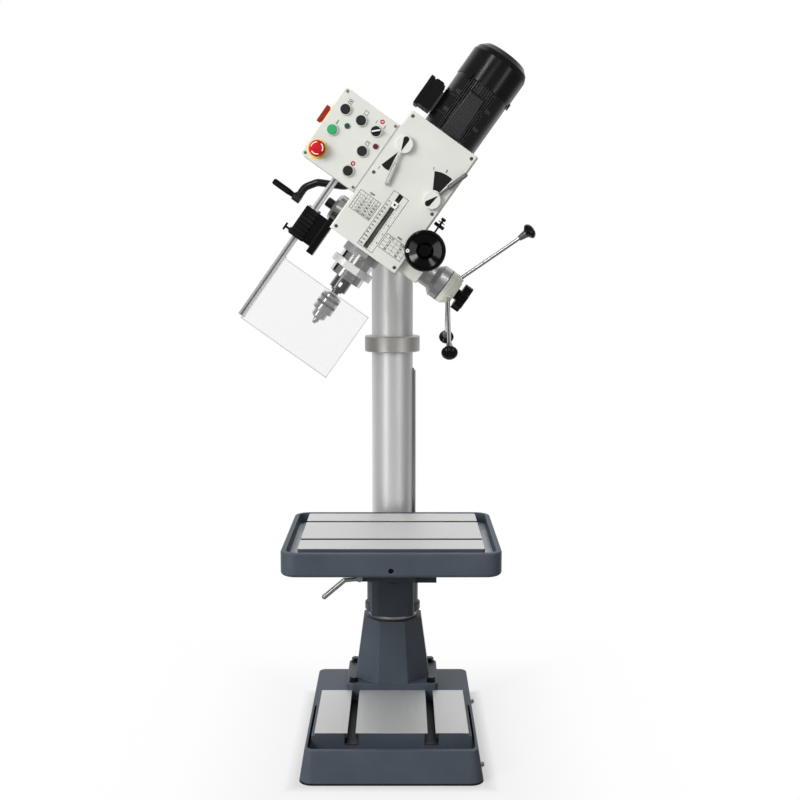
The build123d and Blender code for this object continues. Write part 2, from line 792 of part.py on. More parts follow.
def gearbox_casting():
    """Hollow gearbox with the quill bore, feed boss and swivel bore."""
    body = block(-case_half, case_half, case_front, case_back, case_bottom, case_top)
    body = fillet(body.edges().filter_by(Axis.Z), 12)
    boss = block(case_half - 10, feed_boss_right, -95, 108, feed_boss_bottom, feed_boss_top)
    body += fillet(boss.edges().filter_by(Axis.X), 12)
    inner = case_half - case_wall
    body -= block(-inner, inner, case_front + 14, case_back - case_rear_wall,
                  case_bottom + 14, case_top - case_wall)
    body += block(-inner - 1, inner + 1, case_front + 13, case_back - case_rear_wall + 1,
                  deck_bottom, deck_bottom + deck_thick)
    body += rod_z(0, 0, quill_boss_radius, case_bottom, deck_bottom + 1)
    body += rod_z(0, 0, nose_radius, nose_bottom, case_bottom + 1)
    body += block(-18, 18, depth_rod_y - 9, -40, case_bottom - 13, case_bottom + 1)
    body += rod_z(0, 0, drive_sleeve_radius + 9, deck_bottom, second_stage_z - 4)
    body += block(28, 46, tilt_worm_y - 14, case_back - case_rear_wall + 1,
                  tilt_worm_z - 14, tilt_worm_z + 14)
    body -= rod_z(0, 0, quill_radius + run_gap, nose_bottom - 1, deck_bottom)
    body -= rod_z(0, 0, drive_sleeve_radius + run_gap, deck_bottom - 1, second_stage_z)
    body -= rod_z(lay_x, lay_y, lay_shaft_radius + run_gap, deck_bottom + 2, case_top - 4)
    lay_room = tooth_module * (lay_big_teeth / 2 + 1) + 1.5
    body -= rod_z(lay_x, lay_y, lay_room, first_stage_z - 2, first_stage_z + gear_width + 2)
    body -= rod_z(motor_x, motor_y, tooth_module * (motor_teeth / 2 + 1) + 1, case_top - 20, case_top + 1)
    body -= rod_y(0, 0, swivel_journal_radius + run_gap, case_back - case_rear_wall - 1, case_back + 1)
    body -= feed_cuts()
    body -= rod_x(tilt_worm_y, tilt_worm_z, tilt_shaft_radius + run_gap, -case_half - 1, 42)
    body -= rod_z(0, depth_rod_y, depth_rod_radius + loose_gap, case_bottom - 14, case_bottom + 16)
    body -= block(-scale_slot_half - 2, scale_slot_half + 2, case_front - 1, depth_rod_y + 6,
                  scale_slot_bottom, scale_slot_top + 2)
    for x, z in ((left_lever_x, left_lever_z), (right_lever_x, right_lever_z)):
        body -= rod_y(x, z, lever_shaft_radius + run_gap, case_front - 1, case_front + 15)
    for x, z in plate_screw_places():
        body -= rod_y(x, z, screw_radius + 0.1, case_front - 1, case_front + 12)
    return body


def feed_cuts():
    """Bores and rooms for the feed shaft, worm wheel and worm."""
    wheel_room = worm_module * (worm_wheel_teeth / 2 + 1) + 2.5
    pinion_room = tooth_module * (feed_teeth / 2 + 1) + 1.5
    cut = rod_x(feed_y, feed_z, feed_shaft_radius + run_gap, -case_half - 1, feed_boss_right + 1)
    cut += rod_x(feed_y, feed_z, pinion_room, -44, 44)
    cut += rod_x(feed_y, feed_z, wheel_room, case_half + 12, feed_boss_right + 1)
    worm_room = worm_pitch_radius + worm_module + 2
    cut += rod_y(worm_x, worm_z, worm_room, feed_y - 28, feed_y + 28)
    cut += rod_y(worm_x, worm_z, worm_shaft_radius + run_gap, -96, feed_y + 44)
    cut += rod_z(lock_screw_x, lock_screw_y, 2.5, feed_boss_top - 14, feed_boss_top + 1)
    return cut


def plate_screw_places():
    """Centres of the six plate screws."""
    return [(side * plate_screw_x, z) for side in (-1, 1) for z in plate_screw_heights]


def front_plate():
    """Front cover with the depth scale slot."""
    body = block(-plate_half, plate_half, plate_front, case_front, case_bottom, case_top)
    body = fillet(body.edges().filter_by(Axis.Y), 4)
    body = chamfer(body.edges().group_by(Axis.Y)[0], 0.8)
    body -= block(-scale_slot_half, scale_slot_half, plate_front - 1, case_front + 1,
                  scale_slot_bottom, scale_slot_top)
    for x, z in ((left_lever_x, left_lever_z), (right_lever_x, right_lever_z)):
        body -= rod_y(x, z, lever_shaft_radius + run_gap, plate_front - 1, case_front + 1)
    for x, z in plate_screw_places():
        body -= rod_y(x, z, screw_radius + 0.1, plate_front - 1, case_front + 1)
        body -= rod_y(x, z, 4.5, plate_front - 1, plate_front + 5)
    return body


def plate_screws():
    """Six socket screws sunk in the front plate."""
    screw = Rot(90, 0, 0) * cap_screw(screw_radius, 15, 4.3)
    return group([Pos(x, plate_front + 5, z) * screw for x, z in plate_screw_places()])


def speed_lever(x, z, angle):
    """Selector disc with its shaft and a lever set in its rim, angle clockwise from straight up."""
    disc_front = plate_front - lever_disc_thick
    disc = rod_y(0, 0, lever_disc_radius, disc_front, plate_front - 0.1)
    disc = chamfer(disc.edges().group_by(Axis.Y)[0], 1.5)
    shaft = rod_y(0, 0, lever_shaft_radius, plate_front - 1, case_front + 12)
    y = plate_front - lever_disc_thick / 2
    neck = rod_z(0, y, 3, 4, 54)
    grip = Pos(0, y, 0) * turned([(0, 48), (3, 48), (5.6, 53), (5.6, 102), (3.6, 106), (0, 106)])
    return Pos(x, 0, z) * Rot(0, angle, 0) * (disc + shaft + neck + grip)


# Motor and gears

def motor_housing():
    """Motor frame with smooth side shells, fins front and back and a tapered front pad."""
    body = rod_z(0, 0, motor_flange_radius, case_top, case_top + 12)
    shell = rod_z(0, 0, motor_fin_radius, case_top + 11, fan_cover_bottom)
    for height in (284, 336):
        seam = rod_z(0, 0, motor_fin_radius + 5, height - 13, height - 11)
        seam -= rod_z(0, 0, motor_fin_radius - 2, height - 14, height - 10)
        shell -= seam & block(-62, 62, -90, 0, height - 14, height - 10)
    half = motor_recess_half
    body += shell - block(-half, half, -90, 90, case_top + 10, fan_cover_bottom + 1)
    body += rod_z(0, 0, motor_radius, case_top + 11, motor_frame_top)
    for index in range(-5, 6):
        x = index * motor_fin_gap
        reach = math.sqrt((motor_fin_radius - 1) ** 2 - x ** 2)
        body += block(x - 1.3, x + 1.3, -reach, reach, case_top + 11, fan_cover_bottom)
    seat = fan_cover_radius - fan_cover_wall - run_gap
    body += rod_z(0, 0, seat, fan_cover_bottom - 0.5, motor_frame_top)
    pad_low = Pos(0, -60, case_top + 12) * Rectangle(56, 40)
    pad_high = Pos(0, -60, 356) * Rectangle(46, 36)
    pad = loft([pad_low, pad_high])
    front_edges = [edge for edge in pad.edges() if edge.center().Y < -70 and edge.center().Z > case_top + 20]
    body += fillet(front_edges, 6)
    for side in (-1, 1):
        for z in (284, 336):
            body += block(side * (half + 1), side * (half + 14), -68, -50, z - 5, z + 5)
    body += block(-80, -50, -22, 22, 262, 318)
    body -= rod_z(0, 0, motor_bore, case_top + 24, motor_frame_top - 12)
    body -= rod_z(0, 0, motor_shaft_radius + run_gap, case_top - 1, motor_frame_top + 1)
    return Pos(motor_x, motor_y, 0) * body


def fan_cover():
    """Cowl over the cooling fan with slots in its top and three screw lugs on its rim."""
    wall = fan_cover_wall
    outer = [(0, fan_cover_bottom), (fan_cover_radius, fan_cover_bottom),
             (fan_cover_radius, fan_cover_shoulder), (fan_cover_radius - 6, fan_cover_top - 13),
             (fan_cover_radius - 20, fan_cover_top), (0, fan_cover_top)]
    inner = [(0, fan_cover_bottom - 1), (fan_cover_radius - wall, fan_cover_bottom - 1),
             (fan_cover_radius - wall, fan_cover_shoulder),
             (fan_cover_radius - 6 - wall, fan_cover_top - 14),
             (fan_cover_radius - 21, fan_cover_top - wall), (0, fan_cover_top - wall)]
    body = turned(outer) - turned(inner)
    for index in range(16):
        slot = block(20, 50, -2.5, 2.5, fan_cover_top - 6, fan_cover_top + 1)
        body -= Rot(0, 0, 22.5 * index) * slot
    for angle in (-33, 87, 207):
        lug = block(-7, 7, -fan_cover_radius - 3, -fan_cover_radius + 1,
                    fan_cover_bottom - 7, fan_cover_bottom + 9)
        body += Rot(0, 0, angle) * lug
    return Pos(motor_x, motor_y, 0) * body


def motor_rotor():
    """Rotor and shaft with the pinion cut on its lower end."""
    body = rod_z(0, 0, motor_shaft_radius, first_stage_z - 2, 426)
    body += rod_z(0, 0, motor_bore - 5, case_top + 40, motor_frame_top - 28)
    body += gear(tooth_module, motor_teeth, first_stage_z, gear_width, 0)
    return Pos(motor_x, motor_y, 0) * body


def motor_fan():
    """Cooling fan on the upper shaft end."""
    body = rod_z(0, 0, 62, 404, 407) + rod_z(0, 0, 22, 404, 422)
    for index in range(9):
        body += Rot(0, 0, 40 * index) * block(18, 62, -1.2, 1.2, 405, 424)
    body -= rod_z(0, 0, motor_shaft_radius + run_gap, 400, 430)
    return Pos(motor_x, motor_y, 0) * body


def rotor_set():
    """Rotor shaft and the fan pressed on it."""
    return group([motor_rotor(), motor_fan()])


def terminal_box():
    """Connection box on the left of the motor, its lid and the cable gland."""
    left = motor_x - 123
    box = block(left + 10, motor_x - 80, motor_y - 36, motor_y + 36, 258, 332)
    box += block(motor_x - 81, motor_x - 80, motor_y - 22, motor_y + 22, 262, 318)
    box -= block(left + 9, motor_x - 86, motor_y - 32, motor_y + 32, 262, 328)
    box -= rod_z(motor_x - 98, motor_y, 7 + run_gap, 325, 333)
    lid = block(left, left + 10, motor_y - 38, motor_y + 38, 254, 336)
    lid = fillet(lid.edges().filter_by(Axis.X), 5)
    gland = rod_z(motor_x - 98, motor_y, 7, 322, 333)
    gland += extrude(Pos(motor_x - 98, motor_y, 332) * RegularPolygon(12, 6), amount=8)
    return group([box, lid, gland])


def motor_mesh_direction():
    """Direction from the motor to the layshaft, in degrees."""
    return math.degrees(math.atan2(lay_y - motor_y, lay_x - motor_x))


def lay_to_sleeve_direction():
    """Direction from the layshaft to the spindle, in degrees."""
    return math.degrees(math.atan2(-lay_y, -lay_x))


def layshaft():
    """Middle shaft with one large and one small gear."""
    big = mesh_phase(0, motor_teeth, lay_big_teeth, motor_mesh_direction())
    body = rod_z(0, 0, lay_shaft_radius, deck_bottom + 3, case_top - 5)
    body += gear(tooth_module, lay_big_teeth, first_stage_z, gear_width, big)
    body += gear(tooth_module, lay_small_teeth, second_stage_z, gear_width, 0)
    return Pos(lay_x, lay_y, 0) * body


def spline_section(extra):
    """Splined section with an all-round allowance."""
    shape = Circle(spline_root + extra)
    for angle in (0, 60, 120):
        shape += Rot(0, 0, angle) * Rectangle(2 * (spline_tip + extra), spline_width + 2 * extra)
    return shape


def drive_sleeve():
    """Splined sleeve with the last gear, the spindle slides through it."""
    phase = mesh_phase(0, lay_small_teeth, sleeve_teeth, lay_to_sleeve_direction())
    body = rod_z(0, 0, drive_sleeve_radius, deck_bottom + 2, drive_sleeve_top)
    body += gear(tooth_module, sleeve_teeth, second_stage_z, gear_width, phase)
    hole = Pos(0, 0, deck_bottom) * spline_section(run_gap)
    return body - extrude(hole, amount=drive_sleeve_top)


# Quill and spindle

def quill():
    """Quill with bearing seats and the feed rack on its back."""
    body = rod_z(0, 0, quill_radius, quill_bottom, quill_top)
    body -= rod_z(0, 0, quill_bore, quill_bottom - 1, quill_top + 1)
    body -= rod_z(0, 0, bearing_radius, quill_bottom - 1, quill_bottom + bearing_height)
    body -= rod_z(0, 0, bearing_radius, quill_top - bearing_height, quill_top + 1)
    pitch_y = quill_rack_tip - tooth_module
    low = feed_z - 22
    teeth = rack_line(tooth_module, low, quill_top, feed_z)
    points = [(quill_radius + 2, low), (pitch_y - 1.25 * tooth_module, low)]
    points += [(pitch_y + height, z) for height, z in teeth]
    points += [(pitch_y - 1.25 * tooth_module, quill_top + 1), (quill_radius + 2, quill_top + 1)]
    outline = Polyline(*[Vector(-20, y, z) for y, z in points], close=True)
    return body - extrude(make_face(outline), amount=40, dir=(1, 0, 0))


def spindle_bearings():
    """Bearings at both ends of the quill."""
    ring = Cylinder(bearing_radius, bearing_height - 2) - Cylinder(spindle_radius + run_gap, bearing_height)
    low = quill_bottom + bearing_height / 2 + 1
    high = quill_top - bearing_height / 2 - 1
    return group([Pos(0, 0, low) * ring, Pos(0, 0, high) * ring])


def spindle():
    """Spindle, splined above the quill, with a drift slot in its nose."""
    body = rod_z(0, 0, spindle_radius, quill_bottom - 1, quill_top + 1)
    body += extrude(Pos(0, 0, quill_top) * spline_section(0), amount=spindle_top - quill_top)
    body += rod_z(0, 0, spindle_nose_radius, spindle_nose_bottom, quill_bottom - 0.5)
    body += rod_z(0, 0, 15, spindle_nose_bottom - 5, spindle_nose_bottom + 1)
    body += rod_z(0, 0, 10, chuck_top - 12, spindle_nose_bottom)
    return body - block(-4, 4, -30, 30, spindle_nose_bottom + 8, spindle_nose_bottom + 22)


def chuck_body():
    """Keyed drill chuck with its gear ring."""
    top = chuck_top
    body = turned([(0, top), (17, top), (26, top - 4), (26, top - 51), (19, top - 54), (19, top - 68),
                   (14, top - 73), (0, top - 73)])
    body -= rod_z(0, 0, 10 + run_gap, top - 13, top + 1)
    body -= turned([(24.8, top - 10), (27, top - 10), (27, top - 18), (24.8, top - 18)])
    body -= turned([(24.8, top - 27), (27, top - 27), (27, top - 35), (24.8, top - 35)])
    for index in range(24):
        notch = block(23.5, 28, -1.4, 1.4, top - 52, top - 44)
        body -= Rot(0, 0, 15 * index) * notch
    return body - rod_z(0, 0, 8.5, top - 80, top - 40)


def chuck_jaws():
    """Three jaws closed on the axis."""
    pieces = []
    for index in range(3):
        jaw = block(0.6, 8.4, -3, 3, chuck_top - 88, chuck_top - 42)
        tip = block(4.5, 9, -4, 4, chuck_top - 92, chuck_top - 82)
        jaw = jaw & rod_z(0, 0, 8.4, chuck_top - 100, chuck_top)
        pieces.append(Rot(0, 0, 120 * index) * (jaw - tip))
    return pieces


def drill_chuck():
    """Chuck body and its three jaws."""
    return group([chuck_body()] + chuck_jaws())


def depth_ring():
    """Split clamp ring on the quill with the lug for the depth rod."""
    body = rod_z(0, 0, depth_ring_radius, depth_ring_bottom, depth_ring_top)
    body = chamfer(body.edges().filter_by(GeomType.CIRCLE), 1)
    body += block(-21, 21, depth_rod_y - 9, -30, depth_ring_bottom, depth_ring_top)
    body -= rod_z(0, 0, quill_radius + run_gap, depth_ring_bottom - 1, depth_ring_top + 1)
    body -= block(-1.5, 1.5, 30, 60, depth_ring_bottom - 1, depth_ring_top + 1)
    return body - rod_z(0, depth_rod_y, depth_rod_radius + run_gap,
                        depth_ring_bottom + 2, depth_ring_top + 1)


def depth_pointer():
    """Depth rod that carries the pointer behind the scale slot."""
    body = rod_z(0, depth_rod_y, depth_rod_radius, depth_ring_bottom + 2.5, depth_rod_top)
    body += block(-3.5, 3.5, plate_front - 2, depth_rod_y, depth_pointer_z - 4, depth_pointer_z + 4)
    return body + block(-7, 7, plate_front - 3, plate_front - 1, depth_pointer_z - 8, depth_pointer_z + 8)


def depth_gauge():
    """Clamp ring and the depth rod set in it."""
    return group([depth_ring(), depth_pointer()])


# Feed drive

def feed_housing():
    """Turned housing between the feed boss and the lever hub."""
    right = feed_drum_right
    inset = worm_module * (worm_wheel_teeth / 2 + 1) + 2.5 - run_gap
    left = worm_x + worm_wheel_width / 2 + 10
    profile = [(0, left), (inset, left), (inset, feed_boss_right), (feed_neck_radius + 4, feed_boss_right),
               (feed_neck_radius + 4, feed_boss_right + 5), (feed_neck_radius, feed_boss_right + 5),
               (feed_neck_radius, right - 35), (feed_drum_radius, right - 22), (feed_drum_radius, right),
               (0, right)]
    body = turned_x(profile, feed_y, feed_z)
    return body - rod_x(feed_y, feed_z, feed_shaft_radius + run_gap, left - 1, right + 1)


def feed_shaft():
    """Feed shaft with the pinion that drives the quill rack."""
    shaft = rod_z(0, 0, feed_shaft_radius, spring_case_left + 6, feed_hub_right)
    phase = -90 + 180 / feed_teeth
    teeth = gear(tooth_module, feed_teeth, -feed_pinion_width / 2, feed_pinion_width, phase)
    socket = rod_z(0, 0, clutch_stud_radius + run_gap, feed_hub_right - 16, feed_hub_right + 1)
    return Pos(0, feed_y, feed_z) * Rot(0, 90, 0) * (shaft + teeth - socket)


def lever_line(index):
    """Root and end of one feed lever, the first straight up."""
    lean = math.radians(feed_lever_lean)
    around = math.radians(120 * index + feed_lever_turn)
    points = []
    for along in (feed_lever_root, feed_lever_length):
        radial = along * math.cos(lean)
        x = feed_hub_left + 10 + along * math.sin(lean)
        points.append((x, feed_y + radial * math.sin(around), feed_z + radial * math.cos(around)))
    return points


def feed_hub():
    """Hub that takes the three levers."""
    profile = [(0, feed_hub_left), (feed_drum_radius, feed_hub_left), (feed_drum_radius, feed_hub_left + 14),
               (30, feed_hub_right), (0, feed_hub_right)]
    body = turned_x(profile, feed_y, feed_z)
    for index in range(3):
        start, end = lever_line(index)
        direction = (Vector(*end) - Vector(*start)).normalized()
        body += between(start, Vector(*start) + direction * 20, 10)
    for index in range(3):
        start, end = lever_line(index)
        body -= between(start, end, feed_lever_radius + run_gap)
    return body - rod_x(feed_y, feed_z, feed_shaft_radius + run_gap, feed_hub_left - 1, feed_hub_right + 1)


def feed_levers():
    """Three feed levers."""
    return group([between(*lever_line(index), feed_lever_radius) for index in range(3)])


def lever_knobs():
    """Mushroom knobs on the lever ends."""
    pieces = []
    wide = feed_knob_radius
    profile = [(0, -26), (7, -26), (10, -9), (11, -4), (wide * 0.8, 0), (wide * 0.97, 3), (wide, 6),
               (wide * 0.95, 10), (wide * 0.75, 15), (wide * 0.45, 18), (0, 19)]
    for index in range(3):
        start, end = lever_line(index)
        plane = Plane(origin=end, z_dir=Vector(*end) - Vector(*start))
        knob = plane.location * turned(profile)
        pieces.append(knob - between(start, end, feed_lever_radius + run_gap))
    return group(pieces)


def clutch_knob():
    """Star knob that locks the hub to the worm drive."""
    right = feed_hub_right
    body = rod_x(0, 0, 15, right + 0.3, right + 12)
    star = rod_x(0, 0, 37, right + 10, right + 33)
    for index in range(7):
        angle = 2 * math.pi * index / 7
        star -= rod_x(44 * math.sin(angle), 44 * math.cos(angle), 14, right + 9, right + 34)
    star = fillet(star.edges().group_by(Axis.X)[-1], 3)
    body = Pos(0, feed_y, feed_z) * (body + star)
    stud = rod_x(feed_y, feed_z, clutch_stud_radius, right - 15, right + 4)
    return body + stud


def worm_wheel():
    """Worm wheel of the fine feed, free on the feed shaft."""
    lead_angle = math.degrees(math.atan(worm_module / (2 * worm_pitch_radius)))
    blank = worm_wheel_blank(worm_wheel_teeth, worm_wheel_width, lead_angle, feed_shaft_radius, 180)
    return Pos(worm_x, feed_y, feed_z) * Rot(0, 90, 0) * blank


def feed_worm():
    """Fine feed shaft with its worm."""
    thread = worm(worm_module, worm_pitch_radius, 18, 90)
    shaft = rod_z(0, 0, worm_shaft_radius, handwheel_front + 8 - feed_y, 43)
    return Pos(worm_x, feed_y, worm_z) * Rot(-90, 0, 0) * (thread + shaft)


def handwheel():
    """Dished fine feed handwheel, its hub closed in front of the shaft."""
    front = handwheel_front
    bore = worm_shaft_radius + run_gap
    rim = handwheel_radius
    profile = [(bore, front + 34), (15, front + 34), (17, front + 22), (rim - 8, front + 11),
               (rim - 4, front + 15), (rim, front + 12), (rim, front + 6), (rim - 2, front + 1.5),
               (rim - 5, front), (rim - 8.5, front), (rim - 10, front + 2), (15, front + 13),
               (15, front + 4), (13.5, front + 2.5), (0, front + 2.5), (0, front + 7), (bore, front + 7)]
    return turned_y(profile, worm_x, worm_z)


def lock_screw():
    """T-screw on top of the feed boss."""
    low = feed_boss_top - 13
    profile = [(0, low), (2.4, low), (2.4, 35), (14, 35), (14, 43), (3, 43), (3, 48), (9, 48), (9, 50),
               (3, 50), (3, 54), (6, 54), (6, 61), (0, 61)]
    return Pos(lock_screw_x, lock_screw_y, 0) * turned(profile)


def spring_housing():
    """Return spring case with its set knob."""
    left = spring_case_left
    profile = [(feed_shaft_radius + 2, left + 4), (spring_case_radius - 3, left + 4),
               (spring_case_radius - 3, -case_half), (spring_case_radius, -case_half),
               (spring_case_radius, left + 8), (spring_case_radius - 6, left), (12.6, left),
               (12.6, spring_knob_left + 2), (10.6, spring_knob_left), (0, spring_knob_left), (0, left + 4)]
    return turned_x(profile, feed_y, feed_z)


def return_spring():
    """Flat spiral spring wound round the feed shaft."""
    outer = []
    inner = []
    first = feed_shaft_radius + 0.4
    last = spring_case_radius - 3.4
    for step in range(97):
        angle = 2 * math.pi * 4 * step / 96
        radius = first + (last - 1.2 - first) * step / 96
        inner.append(Vector(radius * math.cos(angle), radius * math.sin(angle)))
        outer.append(Vector((radius + 1) * math.cos(angle), (radius + 1) * math.sin(angle)))
    face = make_face(Polyline(*(inner + outer[::-1]), close=True))
    strip = extrude(face, amount=14)
    return Pos(spring_case_left + 7, feed_y, feed_z) * Rot(0, 90, 0) * strip


def spring_set():
    """Spring case and the spring inside it."""
    return group([spring_housing(), return_spring()])


# Control box

def control_box():
    """Sheet metal box on the left of the gearbox, open at the front."""
    body = block(box_left, -case_half, box_front + box_wall, box_rear, box_low, box_high)
    body = fillet(body.edges().filter_by(Axis.Y).group_by(Axis.X)[0], 6)
    inner = block(box_left + box_wall, -case_half - box_wall, box_front, box_rear - box_wall,
                  box_low + box_wall, box_high - box_wall)
    return body - inner - rod_x(main_switch_y, main_switch_z, 6.5, box_left - 1, box_left + box_wall + 1)


def panel_holes():
    """Centres of all 22 mm panel devices."""
    return list(black_buttons) + [green_button_at, selector_at, stop_at]


def control_panel():
    """Front panel of the control box."""
    right = -plate_half - panel_gap
    body = block(box_left, right, box_front, box_front + box_wall, box_low, box_high)
    body = fillet(body.edges().filter_by(Axis.Y).group_by(Axis.X)[0], 6)
    for x, z in panel_holes():
        body -= rod_y(x, z, 11, box_front - 1, box_front + box_wall + 1)
    for x, z in lamps_at:
        body -= rod_y(x, z, 5, box_front - 1, box_front + box_wall + 1)
    return body


def panel_fittings():
    """Bezels, the yellow stop collar, both lamps and the main switch plate."""
    pieces = []
    for x, z in list(black_buttons) + [green_button_at, selector_at]:
        ring = rod_y(x, z, bezel_radius, box_front - 4, box_front)
        ring += rod_y(x, z, 10.9, box_front - 1, box_front + 22)
        pieces.append(ring - rod_y(x, z, 8.4, box_front - 9, box_front + 23)
                      - rod_y(x, z, button_radius + loose_gap, box_front - 9, box_front - 0.5))
    x, z = stop_at
    collar = rod_y(x, z, 23, box_front - 3, box_front) + rod_y(x, z, 10.9, box_front - 1, box_front + 22)
    pieces.append(collar - rod_y(x, z, 8.4, box_front - 9, box_front + 23))
    for x, z in lamps_at:
        lens = rod_y(x, z, lamp_radius, box_front - 3, box_front)
        lamp = lens + rod_y(x, z, 4.9, box_front - 1, box_front + 12)
        pieces.append(lamp)
    plate = block(box_left - 3, box_left, main_switch_y - 28, main_switch_y + 28, 72, 130)
    pieces.append(plate - rod_x(main_switch_y, main_switch_z, 6.5, box_left - 4, box_left + 1))
    return group(pieces)


def push_button(x, z):
    """Round push button with its plunger."""
    cap = rod_y(x, z, button_radius, box_front - 8, box_front - 0.5 - button_travel)
    cap = fillet(cap.edges().group_by(Axis.Y)[0], 1.5)
    return cap + rod_y(x, z, 8.4 - run_gap, box_front - 1 - button_travel, box_front + 20)


def emergency_stop():
    """Mushroom stop button."""
    x, z = stop_at
    y = box_front
    profile = [(0, y - 27), (12, y - 26), (18, y - 22), (stop_radius, y - 17), (stop_radius - 2, y - 13),
               (12, y - 10), (8.4 - run_gap, y - 8), (8.4 - run_gap, y + 20), (0, y + 20)]
    return turned_y(profile, x, z)


def selector_switch():
    """Two-way selector with a raised grip bar."""
    x, z = selector_at
    body = rod_y(0, 0, button_radius, box_front - 7, box_front - 0.6)
    body += block(-3, 3, box_front - 15, box_front - 6, -11, 11)
    body += rod_y(0, 0, 8.4 - run_gap, box_front - 1, box_front + 20)
    return Pos(x, 0, z) * Rot(0, 45, 0) * body


def main_switch():
    """Red main switch knob on the left side of the box."""
    left = box_left - 3
    body = rod_x(0, 0, 20, left - 7, left - 0.1)
    body += block(left - 16, left - 6, -6, 6, -23, 23)
    body += rod_x(0, 0, 6.5 - run_gap, left - 1, box_left + 20)
    return Pos(0, main_switch_y, main_switch_z) * body


# Guard

def guard_bracket():
    """Ribbed arm on the left of the gearbox that holds the guard post."""
    body = block(post_x - 20, post_x + 20, post_y - 22, post_y + 22, guard_bracket_bottom, guard_bracket_top)
    body = fillet(body.edges().filter_by(Axis.Z), 6)
    body += block(post_x + 10, -case_half, post_y - 16, post_y + 16,
                  guard_bracket_bottom + 2, guard_bracket_top)
    body += block(-case_half - 18, -case_half, post_y - 20, post_y + 20, guard_bracket_bottom - 13,
                  guard_bracket_top + 9)
    for index in range(7):
        z = guard_bracket_top - 7 - 11.5 * index
        body -= block(post_x - 21, post_x + 21, post_y - 23, post_y - 20, z - 1.5, z + 1.5)
    body -= rod_z(post_x, post_y, guard_collar_radius + run_gap,
                  guard_bracket_bottom - 1, guard_bracket_top + 1)
    return body - rod_x(post_y, guard_bracket_bottom + 8, 3 + run_gap, post_x - 22, post_x)


def guard_post():
    """Grooved square post with the round collar it turns in."""
    body = block(post_x - post_side / 2, post_x + post_side / 2,
                 post_y - post_side / 2, post_y + post_side / 2,
                 post_bottom, post_top)
    for angle in (0, 90, 180, 270):
        groove = block(4.5, post_side / 2 + 1, -2.5, 2.5, post_bottom - 1, post_top + 1)
        body -= Pos(post_x, post_y, 0) * Rot(0, 0, angle) * groove
    collar = rod_z(post_x, post_y, guard_collar_radius, guard_bracket_bottom, guard_bracket_top)
    rim = rod_z(post_x, post_y, guard_collar_radius + 3, guard_bracket_top + 0.1, guard_bracket_top + 5)
    return body + collar + rim


def guard_pane():
    """Clear pane folded round the side and front of the chuck."""
    left = post_x + post_side / 2
    side = block(left, left + pane_thick, pane_front, post_y + post_side / 2, pane_bottom, pane_top)
    front = block(left, pane_right, pane_front, pane_front + pane_thick, pane_bottom, pane_top)
    body = side + front
    corner = body.edges().filter_by(Axis.Z).sort_by(lambda e: e.center().X + e.center().Y)[0]
    return fillet(corner, pane_thick * 0.9)


def guard_thumbscrew():
    """Thumbscrew that pinches the post collar."""
    z = guard_bracket_bottom + 8
    start = post_x - guard_collar_radius - 0.3
    body = rod_x(post_y, z, 3, post_x - 36, start)
    body += rod_x(post_y, z, 7, post_x - 24, post_x - 20.3)
    return body + block(post_x - 39, post_x - 34, post_y - 3, post_y + 3, z - 10, z + 10)


# Tilt drive

def tilt_crank():
    """Crank arm of the head tilt."""
    y = tilt_worm_y
    z = tilt_worm_z
    hub = rod_x(y, z, 17, -case_half - 22, -case_half - 1)
    end_x = tilt_crank_end_x
    end_z = tilt_crank_end_z
    line = [(-case_half - 12, y, z), (end_x + 86, y, end_z + 98), (end_x + 20, y, end_z + 64),
            (end_x, y, end_z + 34), (end_x, y, end_z)]
    arm = bent_bar(line, 30, tilt_arm_radius)
    eye = rod_x(y, end_z, 12, end_x - 12, end_x + 10)
    pin = rod_x(y, end_z, 4, tilt_grip_left + 5, end_x - 10)
    body = hub + arm + eye + pin
    return body - rod_x(y, z, tilt_shaft_radius + run_gap, -case_half - 19, -case_half)


def tilt_grip():
    """Grip that turns on the tilt crank pin."""
    left = tilt_grip_left
    right = tilt_crank_end_x - 12.3
    profile = [(4 + run_gap, left), (7, left), (8.5, left + 5), (8.5, right - 16),
               (7.5, right - 9), (7, right),
               (4 + run_gap, right)]
    return turned_x(profile, tilt_worm_y, tilt_crank_end_z)


def tilt_worm():
    """Tilt shaft with its worm over the wheel."""
    thread = worm(worm_module, tilt_worm_radius, 16, 0)
    shaft = rod_z(0, 0, tilt_shaft_radius, -case_half - 18, 41)
    return Pos(0, tilt_worm_y, tilt_worm_z) * Rot(0, 90, 0) * (thread + shaft)


def tilt_set():
    """Worm shaft and the crank pinned on it."""
    return group([tilt_worm(), tilt_crank()])


